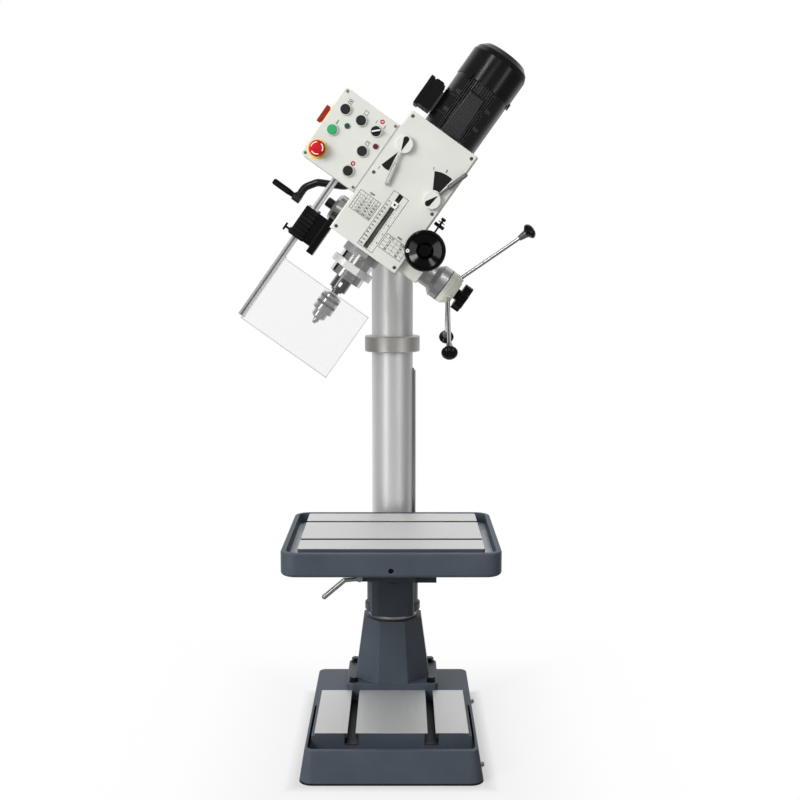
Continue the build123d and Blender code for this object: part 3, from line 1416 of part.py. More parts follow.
stand_pieces = {
    "base_casting": base_casting, "coolant_fittings": coolant_fittings, "column_foot": column_foot,
    "foot_bolts": foot_bolts, "column_tube": column_tube, "column_rings": column_rings,
    "table_rack": table_rack, "work_table": work_table,
    "table_bracket": table_bracket, "table_bolts": table_bolts, "table_clamp_lever": table_clamp_lever,
    "lift_crank": lift_set, "lift_grip": lift_grip,
    "head_bracket": head_bracket, "bracket_bolts": bracket_bolts,
}
head_pieces = {
    "gearbox_casting": gearbox_casting, "front_plate": front_plate, "plate_screws": plate_screws,
    "motor_housing": motor_housing, "fan_cover": fan_cover, "motor_rotor": rotor_set,
    "terminal_box": terminal_box, "layshaft": layshaft,
    "drive_sleeve": drive_sleeve, "quill": quill, "spindle_bearings": spindle_bearings,
    "spindle": spindle, "drill_chuck": drill_chuck, "depth_gauge": depth_gauge,
    "feed_housing": feed_housing, "feed_shaft": feed_shaft,
    "feed_hub": feed_hub, "feed_levers": feed_levers, "lever_knobs": lever_knobs,
    "clutch_knob": clutch_knob, "worm_wheel": worm_wheel, "feed_worm": feed_worm,
    "handwheel": handwheel, "lock_screw": lock_screw, "spring_housing": spring_set,
    "control_box": control_box, "control_panel": control_panel,
    "panel_fittings": panel_fittings, "emergency_stop": emergency_stop,
    "selector_switch": selector_switch, "main_switch": main_switch, "guard_bracket": guard_bracket,
    "guard_post": guard_post, "guard_pane": guard_pane, "guard_thumbscrew": guard_thumbscrew,
    "tilt_crank": tilt_set, "tilt_grip": tilt_grip,
}

for node, maker in stand_pieces.items():
    save(node, maker())
for node, maker in head_pieces.items():
    save(node, maker(), head_place)

save("tilt_wheel", Pos(0, tilt_worm_y - spindle_reach, swivel_height) * Rot(-90, 0, 0) * tilt_wheel())
save("speed_lever_left", speed_lever(left_lever_x, left_lever_z, left_lever_angle), head_place)
save("speed_lever_right", speed_lever(right_lever_x, right_lever_z, right_lever_angle), head_place)
button_names = ("light_button", "coolant_button", "reverse_button", "off_button")
for node, (button_x, button_z) in zip(button_names, black_buttons):
    save(node, push_button(button_x, button_z), head_place)
save("start_button", push_button(*green_button_at), head_place)
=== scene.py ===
"""Dresses the geared pillar drill: finishes, printed marks, small screws, floor, light and camera."""
import logging
import math
from dataclasses import dataclass
from enum import Enum
from typing import List, Optional, Sequence, Tuple, Union

import bmesh
import bpy
from mathutils import Matrix, Vector


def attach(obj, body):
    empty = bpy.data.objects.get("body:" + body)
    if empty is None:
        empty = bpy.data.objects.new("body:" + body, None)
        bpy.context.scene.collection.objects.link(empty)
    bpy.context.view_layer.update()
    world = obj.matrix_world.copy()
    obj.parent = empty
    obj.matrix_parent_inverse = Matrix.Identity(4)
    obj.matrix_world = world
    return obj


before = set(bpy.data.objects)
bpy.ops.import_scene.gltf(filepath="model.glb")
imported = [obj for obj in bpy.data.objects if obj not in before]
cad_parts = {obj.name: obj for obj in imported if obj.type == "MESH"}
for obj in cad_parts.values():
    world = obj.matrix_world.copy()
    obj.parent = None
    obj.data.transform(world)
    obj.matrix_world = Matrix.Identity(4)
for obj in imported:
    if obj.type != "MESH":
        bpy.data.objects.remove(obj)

LOG = logging.getLogger("pillar_drill")
Colour = Tuple[float, float, float]
Point = Tuple[float, float]
Point3 = Tuple[float, float, float]
Box = Tuple[float, float, float, float]
Cells = Tuple[Tuple[str, ...], ...]

HEAD_TILT = math.radians(35.5)
HEAD_ORIGIN = Vector((0.0, -0.302, 1.425))
# Y of the faces that carry marks, and how far print stands out of them and goes into them, in head mm.
PLATE_FRONT = -110.0
PANEL_FRONT = -108.0
DISC_FRONT = -123.0
PRINT_OUT = 0.15
PRINT_IN = 0.2
# From the edges of a piece, where the rounded normal leaves the true one, to its flat ground.
EDGE_STOPS = ((0.86, 1.0), (0.995, 0.0))


class Place(Enum):
    """The frame that a finish is laid out in."""

    STAND = "stand"
    HEAD = "head"


class Grain(Enum):
    """The way that tool marks run on bare metal, as marks per metre along X, Y and Z."""

    ALONG_X = (6.0, 900.0, 900.0)
    ALONG_Y = (900.0, 6.0, 900.0)
    ALONG_Z = (900.0, 900.0, 6.0)
    ROUND_Z = (12.0, 12.0, 1400.0)
    ROUND_X = (1400.0, 12.0, 12.0)
    EVEN = (500.0, 500.0, 500.0)


def turned_at(x: float, y: float, z: float, turn: float = 0.0) -> Matrix:
    """Give the matrix that turns about Y, by degrees, and then moves."""
    return Matrix.Translation((x, y, z)) @ Matrix.Rotation(math.radians(turn), 4, "Y")


def head_matrix() -> Matrix:
    """Give the matrix that takes a head point in millimetres to its place at rest, in metres."""
    return turned_at(*HEAD_ORIGIN, math.degrees(HEAD_TILT)) @ Matrix.Scale(0.001, 4)


class Wire:
    """A shader socket that takes plain arithmetic."""

    def __init__(self, graph: "Graph", socket: bpy.types.NodeSocket) -> None:
        """Keep the graph and its socket."""
        self.graph = graph
        self.socket = socket

    def maths(self, operation: str, first: "Value", second: "Value" = 0.0) -> "Wire":
        """Join two values by a Math node."""
        return self.graph.node("ShaderNodeMath", {"operation": operation}, {0: first, 1: second})

    def __add__(self, other: "Value") -> "Wire":
        """Add."""
        return self.maths("ADD", self, other)

    def __radd__(self, other: "Value") -> "Wire":
        """Add from the right."""
        return self.maths("ADD", other, self)

    def __sub__(self, other: "Value") -> "Wire":
        """Subtract."""
        return self.maths("SUBTRACT", self, other)

    def __rsub__(self, other: "Value") -> "Wire":
        """Subtract from a value."""
        return self.maths("SUBTRACT", other, self)

    def __mul__(self, other: "Value") -> "Wire":
        """Multiply."""
        return self.maths("MULTIPLY", self, other)

    def __gt__(self, other: "Value") -> "Wire":
        """Give 1 where this is greater."""
        return self.maths("GREATER_THAN", self, other)

    def __lt__(self, other: "Value") -> "Wire":
        """Give 1 where this is less."""
        return self.maths("LESS_THAN", self, other)

    def __abs__(self) -> "Wire":
        """Drop the sign."""
        return self.maths("ABSOLUTE", self)

    def axis(self, name: str) -> "Wire":
        """Take one coordinate of a vector."""
        return self.graph.node("ShaderNodeSeparateXYZ", inputs={"Vector": self}, output=name)

    def away(self, axes: str, centre: Point) -> "Wire":
        """Give a vector's distance from a point in the plane of two axes."""
        across, along = (self.axis(name) - middle for name, middle in zip(axes, centre))
        return self.maths("SQRT", across * across + along * along)


Value = Union[Wire, float, Sequence[float]]


class Graph:
    """The node tree of one material or of the world."""

    def __init__(self, tree: bpy.types.NodeTree) -> None:
        """Start from an empty tree."""
        self.tree = tree
        self.tree.nodes.clear()

    def node(self, kind: str, settings: Optional[dict] = None, inputs: Optional[dict] = None,
             output: Union[int, str] = 0) -> Wire:
        """Add one node.

        Args:
            kind: Blender's node type.
            settings: Properties set first; "stops" fills a colour ramp.
            inputs: Values or wires by socket name or index.
            output: Name or index of the socket that is returned.

        Returns:
            The chosen output.
        """
        made = self.tree.nodes.new(kind)
        for key, value in (settings or {}).items():
            if key == "stops":
                self.fill_ramp(made, value)
            else:
                setattr(made, key, value)
        for key, value in (inputs or {}).items():
            if isinstance(value, Wire):
                self.tree.links.new(value.socket, made.inputs[key])
            else:
                made.inputs[key].default_value = value
        return Wire(self, made.outputs[output])

    @staticmethod
    def fill_ramp(made: bpy.types.Node, stops: Sequence[Point]) -> None:
        """Set the grey stops of a colour ramp.

        Args:
            made: The ramp node.
            stops: Pairs of position and grey level.
        """
        elements = made.color_ramp.elements
        while len(elements) < len(stops):
            elements.new(1.0)
        for element, (position, level) in zip(elements, stops):
            element.position = position
            element.color = (level, level, level, 1.0)

    def ramp(self, value: Wire, *stops: Point) -> Wire:
        """Map a value through grey stops."""
        return self.node("ShaderNodeValToRGB", {"stops": stops}, {"Fac": value})

    def mix(self, share: Value, first: Value, second: Value) -> Wire:
        """Blend two colours by the share of the second."""
        return self.node("ShaderNodeMix", {"data_type": "RGBA"}, {0: share, 6: first, 7: second}, 2)

    def vector(self, operation: str, first: Value, second: Value, output: Union[int, str] = 0) -> Wire:
        """Join two vectors by a Vector Math node."""
        return self.node("ShaderNodeVectorMath", {"operation": operation}, {0: first, 1: second}, output)

    def place(self, where: Place) -> Wire:
        """Give object coordinates in metres, upright in the stand's or the head's own frame.

        Args:
            where: The frame to read them in.

        Returns:
            The coordinates as a vector.
        """
        spot = self.node("ShaderNodeTexCoord", output="Object")
        if where is Place.STAND:
            return spot
        inputs = {"Vector": spot, "Location": tuple(HEAD_ORIGIN), "Rotation": (0.0, HEAD_TILT, 0.0)}
        return self.node("ShaderNodeMapping", {"vector_type": "TEXTURE"}, inputs)

    def rounded(self, radius: float) -> Wire:
        """Give the normal with sharp edges rounded by a radius in metres."""
        return self.node("ShaderNodeBevel", {"samples": 6}, {"Radius": radius})

    def edges(self, radius: float) -> Wire:
        """Give 1 along sharp edges, as far as a radius in metres, and 0 on flat ground."""
        true = self.node("ShaderNodeNewGeometry", output="Normal")
        return self.ramp(self.vector("DOT_PRODUCT", self.rounded(radius), true, "Value"), *EDGE_STOPS)

    def noise(self, spot: Wire, scale: float, detail: float = 3.0) -> Wire:
        """Give noise from 0 to 1, with a scale in features per metre."""
        return self.node("ShaderNodeTexNoise", inputs={"Vector": spot, "Scale": scale, "Detail": detail})

    def streaks(self, spot: Wire, stretch: Sequence[float], detail: float = 4.0) -> Wire:
        """Give noise from 0 to 1, with its own features per metre along each axis."""
        inputs = {"Vector": spot, "Scale": tuple(stretch)}
        return self.noise(self.node("ShaderNodeMapping", inputs=inputs), 1.0, detail)

    def bump(self, height: Wire, depth: float, **beneath: Wire) -> Wire:
        """Turn a height from 0 to 1 into a normal, with its depth in metres and any normal beneath it."""
        inputs = {"Strength": 1.0, "Distance": depth, "Height": height}
        return self.node("ShaderNodeBump", inputs={**inputs, **beneath})

    def surface(self, **sockets: Value) -> None:
        """Close the tree with one principled surface; names of sockets have _ in place of a space."""
        inputs = {key.replace("_", " "): value for key, value in sockets.items()}
        self.close(self.node("ShaderNodeBsdfPrincipled", inputs=inputs))

    def close(self, shader: Wire, kind: str = "ShaderNodeOutputMaterial") -> None:
        """Join a shader to the output of the material or the world."""
        out = self.tree.nodes.new(kind)
        self.tree.links.new(shader.socket, out.inputs["Surface"])


def rgba(colour: Colour, gain: float = 1.0) -> Tuple[float, float, float, float]:
    """Give a colour four parts, brightened by a gain."""
    return tuple(min(1.0, part * gain) for part in colour) + (1.0,)


class Zone:
    """A field of a piece, in metres of the frame that its finish is laid out in."""

    def mask(self, spot: Wire) -> Wire:
        """Give 1 within the field; each zone has its own way."""
        raise NotImplementedError


@dataclass(frozen=True)
class Span(Zone):
    """A slab between two values of one coordinate."""

    axis: str
    low: float
    high: float

    def mask(self, spot: Wire) -> Wire:
        """Give 1 within the slab."""
        along = spot.axis(self.axis)
        return (along > self.low) * (along < self.high)


@dataclass(frozen=True)
class Disc(Zone):
    """A round field of the head's front."""

    centre: Point
    radius: float

    def mask(self, spot: Wire) -> Wire:
        """Give 1 within the round field."""
        return spot.away("XZ", self.centre) < self.radius


@dataclass(frozen=True)
class Reach(Zone):
    """The inner length of the leaning feed levers, measured along them from the hub."""

    axis_at: Point
    foot: float
    lean: float
    limit: float

    def mask(self, spot: Wire) -> Wire:
        """Give 1 up to the limit."""
        sine, cosine = math.sin(math.radians(self.lean)), math.cos(math.radians(self.lean))
        return spot.away("YZ", self.axis_at) * cosine + (spot.axis("X") - self.foot) * sine < self.limit


@dataclass(frozen=True)
class BareZone(Zone):
    """A machined field on a painted casting, with two T-slots in painted shade, a gutter with a painted
    reflection and a painted contact shadow at its foot.
    """

    half_width: float
    front: float
    back: float
    low: float
    high: float = 10.0
    steel: float = 0.68
    grain: Grain = Grain.ALONG_X
    slot_axis: str = "X"
    slot_middle: float = 0.0
    slot_offset: float = 0.0
    slot_half: float = 0.0
    slot_depth: float = 0.032
    # Darkening of the T-slots: painted shade down in them.
    oil: float = 0.14
    gutter: float = -1.0
    gutter_sides: float = 0.027
    gutter_ends: float = 0.024
    gutter_skin: float = 0.0008
    # Pale colour of the gutter floor: a painted reflection of the bright surround.
    film: Colour = (0.44, 0.475, 0.53)
    # Height below which the paint is darkened, and by how much: a painted contact shadow at the bottom edge.
    foot: float = -1.0
    foot_gain: float = 0.1

    def plan(self, spot: Wire, sides: float = 0.0, ends: float = 0.0) -> Wire:
        """Give 1 over the field's plan, widened at its sides and ends."""
        half = self.half_width + sides
        return Span("X", -half, half).mask(spot) * Span("Y", self.front - ends, self.back + ends).mask(spot)

    def mask(self, spot: Wire) -> Wire:
        """Give 1 on the machined field."""
        return self.plan(spot) * Span("Z", self.low, self.high).mask(spot)

    def slots(self, spot: Wire) -> Wire:
        """Give 1 down in the two T-slots beside the middle of the field."""
        inside = abs(abs(spot.axis(self.slot_axis) - self.slot_middle) - self.slot_offset) < self.slot_half
        return inside * self.plan(spot) * Span("Z", self.low - self.slot_depth, self.low).mask(spot)

    def wet(self, spot: Wire) -> Wire:
        """Give 1 on the floor of the gutter, inside the rim, which is glossier and given a pale colour that
        paints its reflection.
        """
        level = abs(spot.axis("Z") - self.gutter) < self.gutter_skin
        return self.plan(spot, self.gutter_sides, self.gutter_ends) * level


@dataclass(frozen=True)
class Finish:
    """A procedural surface with a name of its own."""

    name: str
    colour: Colour
    roughness: float
    where: Place = Place.HEAD

    def build(self) -> bpy.types.Material:
        """Make the material.

        Returns:
            The new material with its node tree.
        """
        material = bpy.data.materials.new(self.name)
        material.use_nodes = True
        self.dress(Graph(material.node_tree))
        return material

    def tone(self, graph: Graph, share: Value, low: float, high: float) -> Wire:
        """Blend the colour between two gains."""
        return graph.mix(share, rgba(self.colour, low), rgba(self.colour, high))

    def dress(self, graph: Graph) -> None:
        """Fill the node tree; each finish has its own way."""
        raise NotImplementedError


@dataclass(frozen=True)
class TwoTone(Finish):
    """Two finishes on one piece, the second one inside a zone."""

    zone: Zone = Span("X", -1.0, 1.0)
    metal: float = 0.9
    inner: Colour = (0.004, 0.004, 0.0042)
    inner_rough: float = 0.3
    inner_metal: float = 0.0
    grain: Grain = Grain.EVEN
    depth: float = 0.000006
    gloss: float = 0.5

    def dress(self, graph: Graph) -> None:
        """Lay both finishes.

        Args:
            graph: The material's tree.
        """
        spot = graph.place(self.where)
        mask = self.zone.mask(spot)
        marks = graph.streaks(spot, self.grain.value)
        cloud = graph.noise(spot, 30.0, 4.0)
        inner = graph.mix(cloud, rgba(self.inner, 0.92), rgba(self.inner, 1.06))
        rough = self.roughness + mask * (self.inner_rough - self.roughness) + (cloud - 0.5) * 0.1
        graph.surface(Base_Color=graph.mix(mask, self.tone(graph, marks, 0.92, 1.08), inner), Roughness=rough,
                      Metallic=self.metal + mask * (self.inner_metal - self.metal),
                      Specular_IOR_Level=self.gloss, Normal=graph.bump(marks, self.depth))


@dataclass(frozen=True)
class CastPaint(Finish):
    """Thick paint on a casting, with orange peel, lighter edges that are partly wear and partly painted
    highlight, and an optional machined field.
    """

    peel: float = 0.00022
    gloss: float = 0.28
    # Share, gain, reach and lift of the lighter edges, which are partly wear and partly painted highlight.
    rub: float = 0.65
    rub_gain: float = 2.6
    rub_reach: float = 0.003
    rounding: float = 0.0012
    lift: float = 0.0
    bare: Optional[BareZone] = None

    def dress(self, graph: Graph) -> None:
        """Lay the paint and grind the bare field.

        Args:
            graph: The material's tree.
        """
        spot = graph.place(self.where)
        cloud = graph.noise(spot, 9.0, 4.0)
        speck = graph.noise(spot, 420.0, 2.0)
        paint = self.tone(graph, graph.ramp(cloud, (0.3, 0.0), (0.75, 1.0)), 0.9, 1.16)
        patchy = graph.ramp(graph.noise(spot, 24.0, 4.0), (0.35, 0.25), (0.7, 1.0))
        # Lighter edges: partly paint worn off, partly a painted highlight where the edges catch the light.
        edge_wear_and_highlight_mask = graph.edges(self.rub_reach) * patchy
        edge_wear_and_highlight_colour = tuple(part * self.rub_gain + self.lift for part in self.colour)
        paint = graph.mix(edge_wear_and_highlight_mask * self.rub, paint, rgba(edge_wear_and_highlight_colour))
        height = speck * 0.75 + graph.noise(spot, 130.0, 2.0) * 0.6
        rough = self.roughness + (cloud - 0.5) * 0.16 + (speck - 0.5) * 0.1 - edge_wear_and_highlight_mask * 0.08
        metal: Value = 0.0
        if self.bare is not None:
            paint, rough, height, metal = self.grind(graph, spot, paint, rough, height)
        graph.surface(Base_Color=paint, Metallic=metal, Roughness=rough, Specular_IOR_Level=self.gloss,
                      Normal=graph.bump(height, self.peel, Normal=graph.rounded(self.rounding)))

    def grind(self, graph: Graph, spot: Wire, paint: Wire, rough: Wire, height: Wire) -> Tuple[Wire, ...]:
        """Lay the bare field, its slots in painted shade, its gutter with a painted reflection and the
        painted shadow at its foot into the paint.

        Args:
            graph: The material's tree.
            spot: Coordinates in metres.
            paint: The paint's colour.
            rough: The paint's roughness.
            height: The paint's relief.

        Returns:
            Colour, roughness, relief and metal of paint and steel together.
        """
        bare = self.bare
        mask = bare.mask(spot)
        smooth = 1.0 - mask
        wet = bare.wet(spot)
        # The T-slots are darkened: painted shade.
        paint = graph.mix(bare.slots(spot), paint, rgba(self.colour, bare.oil))
        # Below the foot height the paint is darkened: a painted contact shadow.
        paint = graph.mix(spot.axis("Z") < bare.foot, paint, rgba(self.colour, bare.foot_gain))
        # The gutter floor takes a pale colour, a painted reflection, besides its real lower roughness below.
        paint = graph.mix(wet, paint, rgba(bare.film))
        marks = graph.streaks(spot, bare.grain.value)
        stain = graph.ramp(graph.noise(spot, 7.0, 5.0), (0.35, 0.0), (0.8, 1.0))
        bright = (bare.steel, bare.steel, bare.steel * 0.995)
        steel = graph.mix(marks, rgba(bright, 0.89), rgba(bright, 1.1))
        steel = graph.mix(stain * 0.3, steel, rgba(bright, 0.96))
        rough = (rough - wet * 0.2) * smooth + (marks * 0.16 + 0.42) * mask
        height = height * smooth * (1.0 - wet * 0.8) + marks * mask * 0.12
        return graph.mix(mask, paint, steel), rough, height, mask * 0.6


@dataclass(frozen=True)
class SheetPaint(Finish):
    """Smooth sprayed paint with a fine grain and faint hand marks."""

    peel: float = 0.00006
    gloss: float = 0.35
    rounding: float = 0.0008

    def dress(self, graph: Graph) -> None:
        """Lay the paint.

        Args:
            graph: The material's tree.
        """
        spot = graph.place(self.where)
        cloud = graph.noise(spot, 11.0, 5.0)
        tone = self.tone(graph, graph.ramp(cloud, (0.32, 0.0), (0.72, 1.0)), 0.95, 1.03)
        grain = graph.bump(graph.noise(spot, 900.0, 2.0), self.peel, Normal=graph.rounded(self.rounding))
        graph.surface(Base_Color=tone, Roughness=self.roughness + (cloud - 0.5) * 0.18,
                      Specular_IOR_Level=self.gloss, Normal=grain)


@dataclass(frozen=True)
class Metal(Finish):
    """Bare metal with tool marks that run one way."""

    grain: Grain = Grain.EVEN
    depth: float = 0.00004
    streak: float = 0.12
    vary: float = 0.22
    metal: float = 1.0

    def dress(self, graph: Graph) -> None:
        """Grind the metal.

        Args:
            graph: The material's tree.
        """
        spot = graph.place(self.where)
        marks = graph.streaks(spot, self.grain.value, 5.0)
        cloud = graph.noise(spot, 14.0, 4.0)
        rough = self.roughness + (marks - 0.5) * self.vary + (cloud - 0.5) * self.vary * 0.6
        graph.surface(Base_Color=self.tone(graph, marks, 1.0 - self.streak, 1.0 + self.streak),
                      Metallic=self.metal, Roughness=rough, Normal=graph.bump(marks, self.depth))


@dataclass(frozen=True)
class ColumnSteel(Finish):
    """Ground column with soft bands along it, partly grinding streaks and partly painted reflection, and fine
    turning marks round it.
    """

    metal: float = 0.7
    bands: Point3 = (52.0, 52.0, 0.4)
    turning: Point3 = (10.0, 10.0, 1100.0)

    def dress(self, graph: Graph) -> None:
        """Grind the column.

        Args:
            graph: The material's tree.
        """
        spot = graph.place(self.where)
        # Soft colour bands along the column: partly grinding streaks, partly painted reflection bands.
        bands = graph.streaks(spot, self.bands, 2.0)
        marks = graph.streaks(spot, self.turning)
        rough = self.roughness + (bands - 0.5) * 0.14 + (marks - 0.5) * 0.08
        graph.surface(Base_Color=self.tone(graph, bands, 0.9, 1.1), Metallic=self.metal, Roughness=rough,
                      Normal=graph.bump(marks, 0.000006))


@dataclass(frozen=True)
class ThreadSteel(Finish):
    """Depth ring of pale steel, with a threaded rod and a pointer given a pale colour: painted light that
    lifts them inside the shaded slot.
    """

    ring_top: float = -0.162
    thread_rate: float = 4000.0
    thread_depth: float = 0.0002
    enamel: Colour = (0.82, 0.83, 0.78)

    def dress(self, graph: Graph) -> None:
        """Cut the threads on the thin rod and give it its pale colour.

        Args:
            graph: The material's tree.
        """
        spot = graph.place(self.where)
        height = spot.axis("Z")
        rod = height > self.ring_top
        thread = height.maths("SINE", height * self.thread_rate) * 0.5 + 0.5
        marks = graph.streaks(spot, Grain.ROUND_Z.value)
        # The rod's pale colour is painted light, brighter than its steel, for the light it shows inside the
        # dark slot.
        rod_lightened_tone = graph.mix(thread * 0.2, rgba(self.enamel), rgba(self.enamel, 0.7))
        graph.surface(Base_Color=graph.mix(rod, self.tone(graph, marks, 0.9, 1.1), rod_lightened_tone),
                      Metallic=(1.0 - rod) * 0.55, Roughness=self.roughness + marks * 0.15,
                      Normal=graph.bump(thread * rod + marks * 0.08, self.thread_depth))


@dataclass(frozen=True)
class Plastic(Finish):
    """Moulded plastic with a faint grain and handling marks."""

    grain: float = 0.00003
    gloss: float = 0.3

    def dress(self, graph: Graph) -> None:
        """Mould the plastic.

        Args:
            graph: The material's tree.
        """
        spot = graph.place(self.where)
        cloud = graph.noise(spot, 40.0, 4.0)
        graph.surface(Base_Color=self.tone(graph, cloud, 0.88, 1.12),
                      Roughness=self.roughness + (cloud - 0.5) * 0.14, Specular_IOR_Level=self.gloss,
                      Normal=graph.bump(graph.noise(spot, 1500.0, 2.0), self.grain))


@dataclass(frozen=True)
class FittingPlastic(Finish):
    """Panel fittings by their places: bright bezels, yellow stop collar and switch plate, two lamps."""

    yellow: Colour = (0.86, 0.6, 0.03)
    green: Colour = (0.006, 0.06, 0.045)
    red: Colour = (0.1, 0.004, 0.014)
    stop: Disc = Disc((-0.230, 0.016), 0.0245)
    plate: Span = Span("X", -1.0, -0.2563)
    green_lamp: Disc = Disc((-0.203, 0.102), 0.0085)
    red_lamp: Disc = Disc((-0.119, 0.102), 0.0085)

    def dress(self, graph: Graph) -> None:
        """Colour each fitting.

        Args:
            graph: The material's tree.
        """
        spot = graph.place(self.where)
        cloud = graph.noise(spot, 60.0, 4.0)
        tone = self.tone(graph, cloud, 0.93, 1.04)
        metal: Value = 1.0
        for zone, colour in ((self.stop, self.yellow), (self.plate, self.yellow),
                             (self.green_lamp, self.green), (self.red_lamp, self.red)):
            mask = zone.mask(spot)
            tone = graph.mix(mask, tone, rgba(colour))
            metal = (1.0 - mask) * metal
        graph.surface(Base_Color=tone, Roughness=self.roughness + (cloud - 0.5) * 0.12, Metallic=metal * 0.85,
                      Specular_IOR_Level=0.35, Normal=graph.bump(graph.noise(spot, 1200.0, 2.0), 0.00003))


@dataclass(frozen=True)
class ClearPane(Finish):
    """Clear guard sheet, a little milky where it has been wiped."""

    clear: float = 0.11
    low: float = -0.431
    high: float = -0.246
    right: float = 0.107
    rim: float = 0.0025

    def dress(self, graph: Graph) -> None:
        """Make the sheet see-through, with rims made less clear to paint the light that they catch.

        Args:
            graph: The material's tree.
        """
        spot = graph.place(self.where)
        wipe = graph.streaks(spot, (14.0, 14.0, 3.0))
        # The rims are less clear and show the grey colour: painted light for the light the sheet's edges
        # catch.
        edge = (spot.axis("Z") < self.low + self.rim) + (spot.axis("Z") > self.high - self.rim)
        edge = edge + (spot.axis("X") > self.right - self.rim)
        graph.surface(Base_Color=rgba(self.colour), Roughness=self.roughness + wipe * 0.06,
                      Alpha=self.clear + (wipe - 0.5) * 0.06 + edge * 0.4)


@dataclass(frozen=True)
class Ink(Finish):
    """Printed ink, a little uneven."""

    def dress(self, graph: Graph) -> None:
        """Lay the ink.

        Args:
            graph: The material's tree.
        """
        cloud = graph.noise(graph.place(self.where), 300.0)
        graph.surface(Base_Color=self.tone(graph, cloud, 0.9, 1.1), Specular_IOR_Level=0.1,
                      Roughness=self.roughness + (cloud - 0.5) * 0.1)


BLUE = (0.058, 0.072, 0.092)
PALE = (0.66, 0.67, 0.62)
INLAY = (0.7, 0.705, 0.67)
SOOT = (0.0045, 0.0045, 0.0048)
BAKELITE = (0.0015, 0.0015, 0.0016)
ON_STAND = Place.STAND

TABLE_FIELD = BareZone(0.2295, -0.5025, -0.1015, 0.6044, slot_axis="Y", slot_middle=-0.302, slot_offset=0.1,
                       slot_half=0.0156, gutter=0.574)
BASE_FIELD = BareZone(0.199, -0.4085, -0.106, 0.0969, grain=Grain.ALONG_Y, slot_offset=0.103,
                      slot_half=0.0186, oil=0.35, foot=0.005)
NOSE_FIELD = BareZone(0.09, -0.12, 0.09, -0.2, -0.1205, 0.4, Grain.ROUND_Z)
KNOB_FERRULE = Reach((0.0545, -0.0715), 0.229, 20.0, 0.243)
LEFT_DISC = Disc((-0.065, 0.146), 0.0225)
RIGHT_DISC = Disc((0.067, 0.076), 0.0225)
SPRING_KNOB = Span("X", -1.0, -0.1312)
# The groove down the post's front is coloured darker: painted shade in the groove.
POST_GROOVE_SHADE = Span("X", -0.1635, -0.1585)

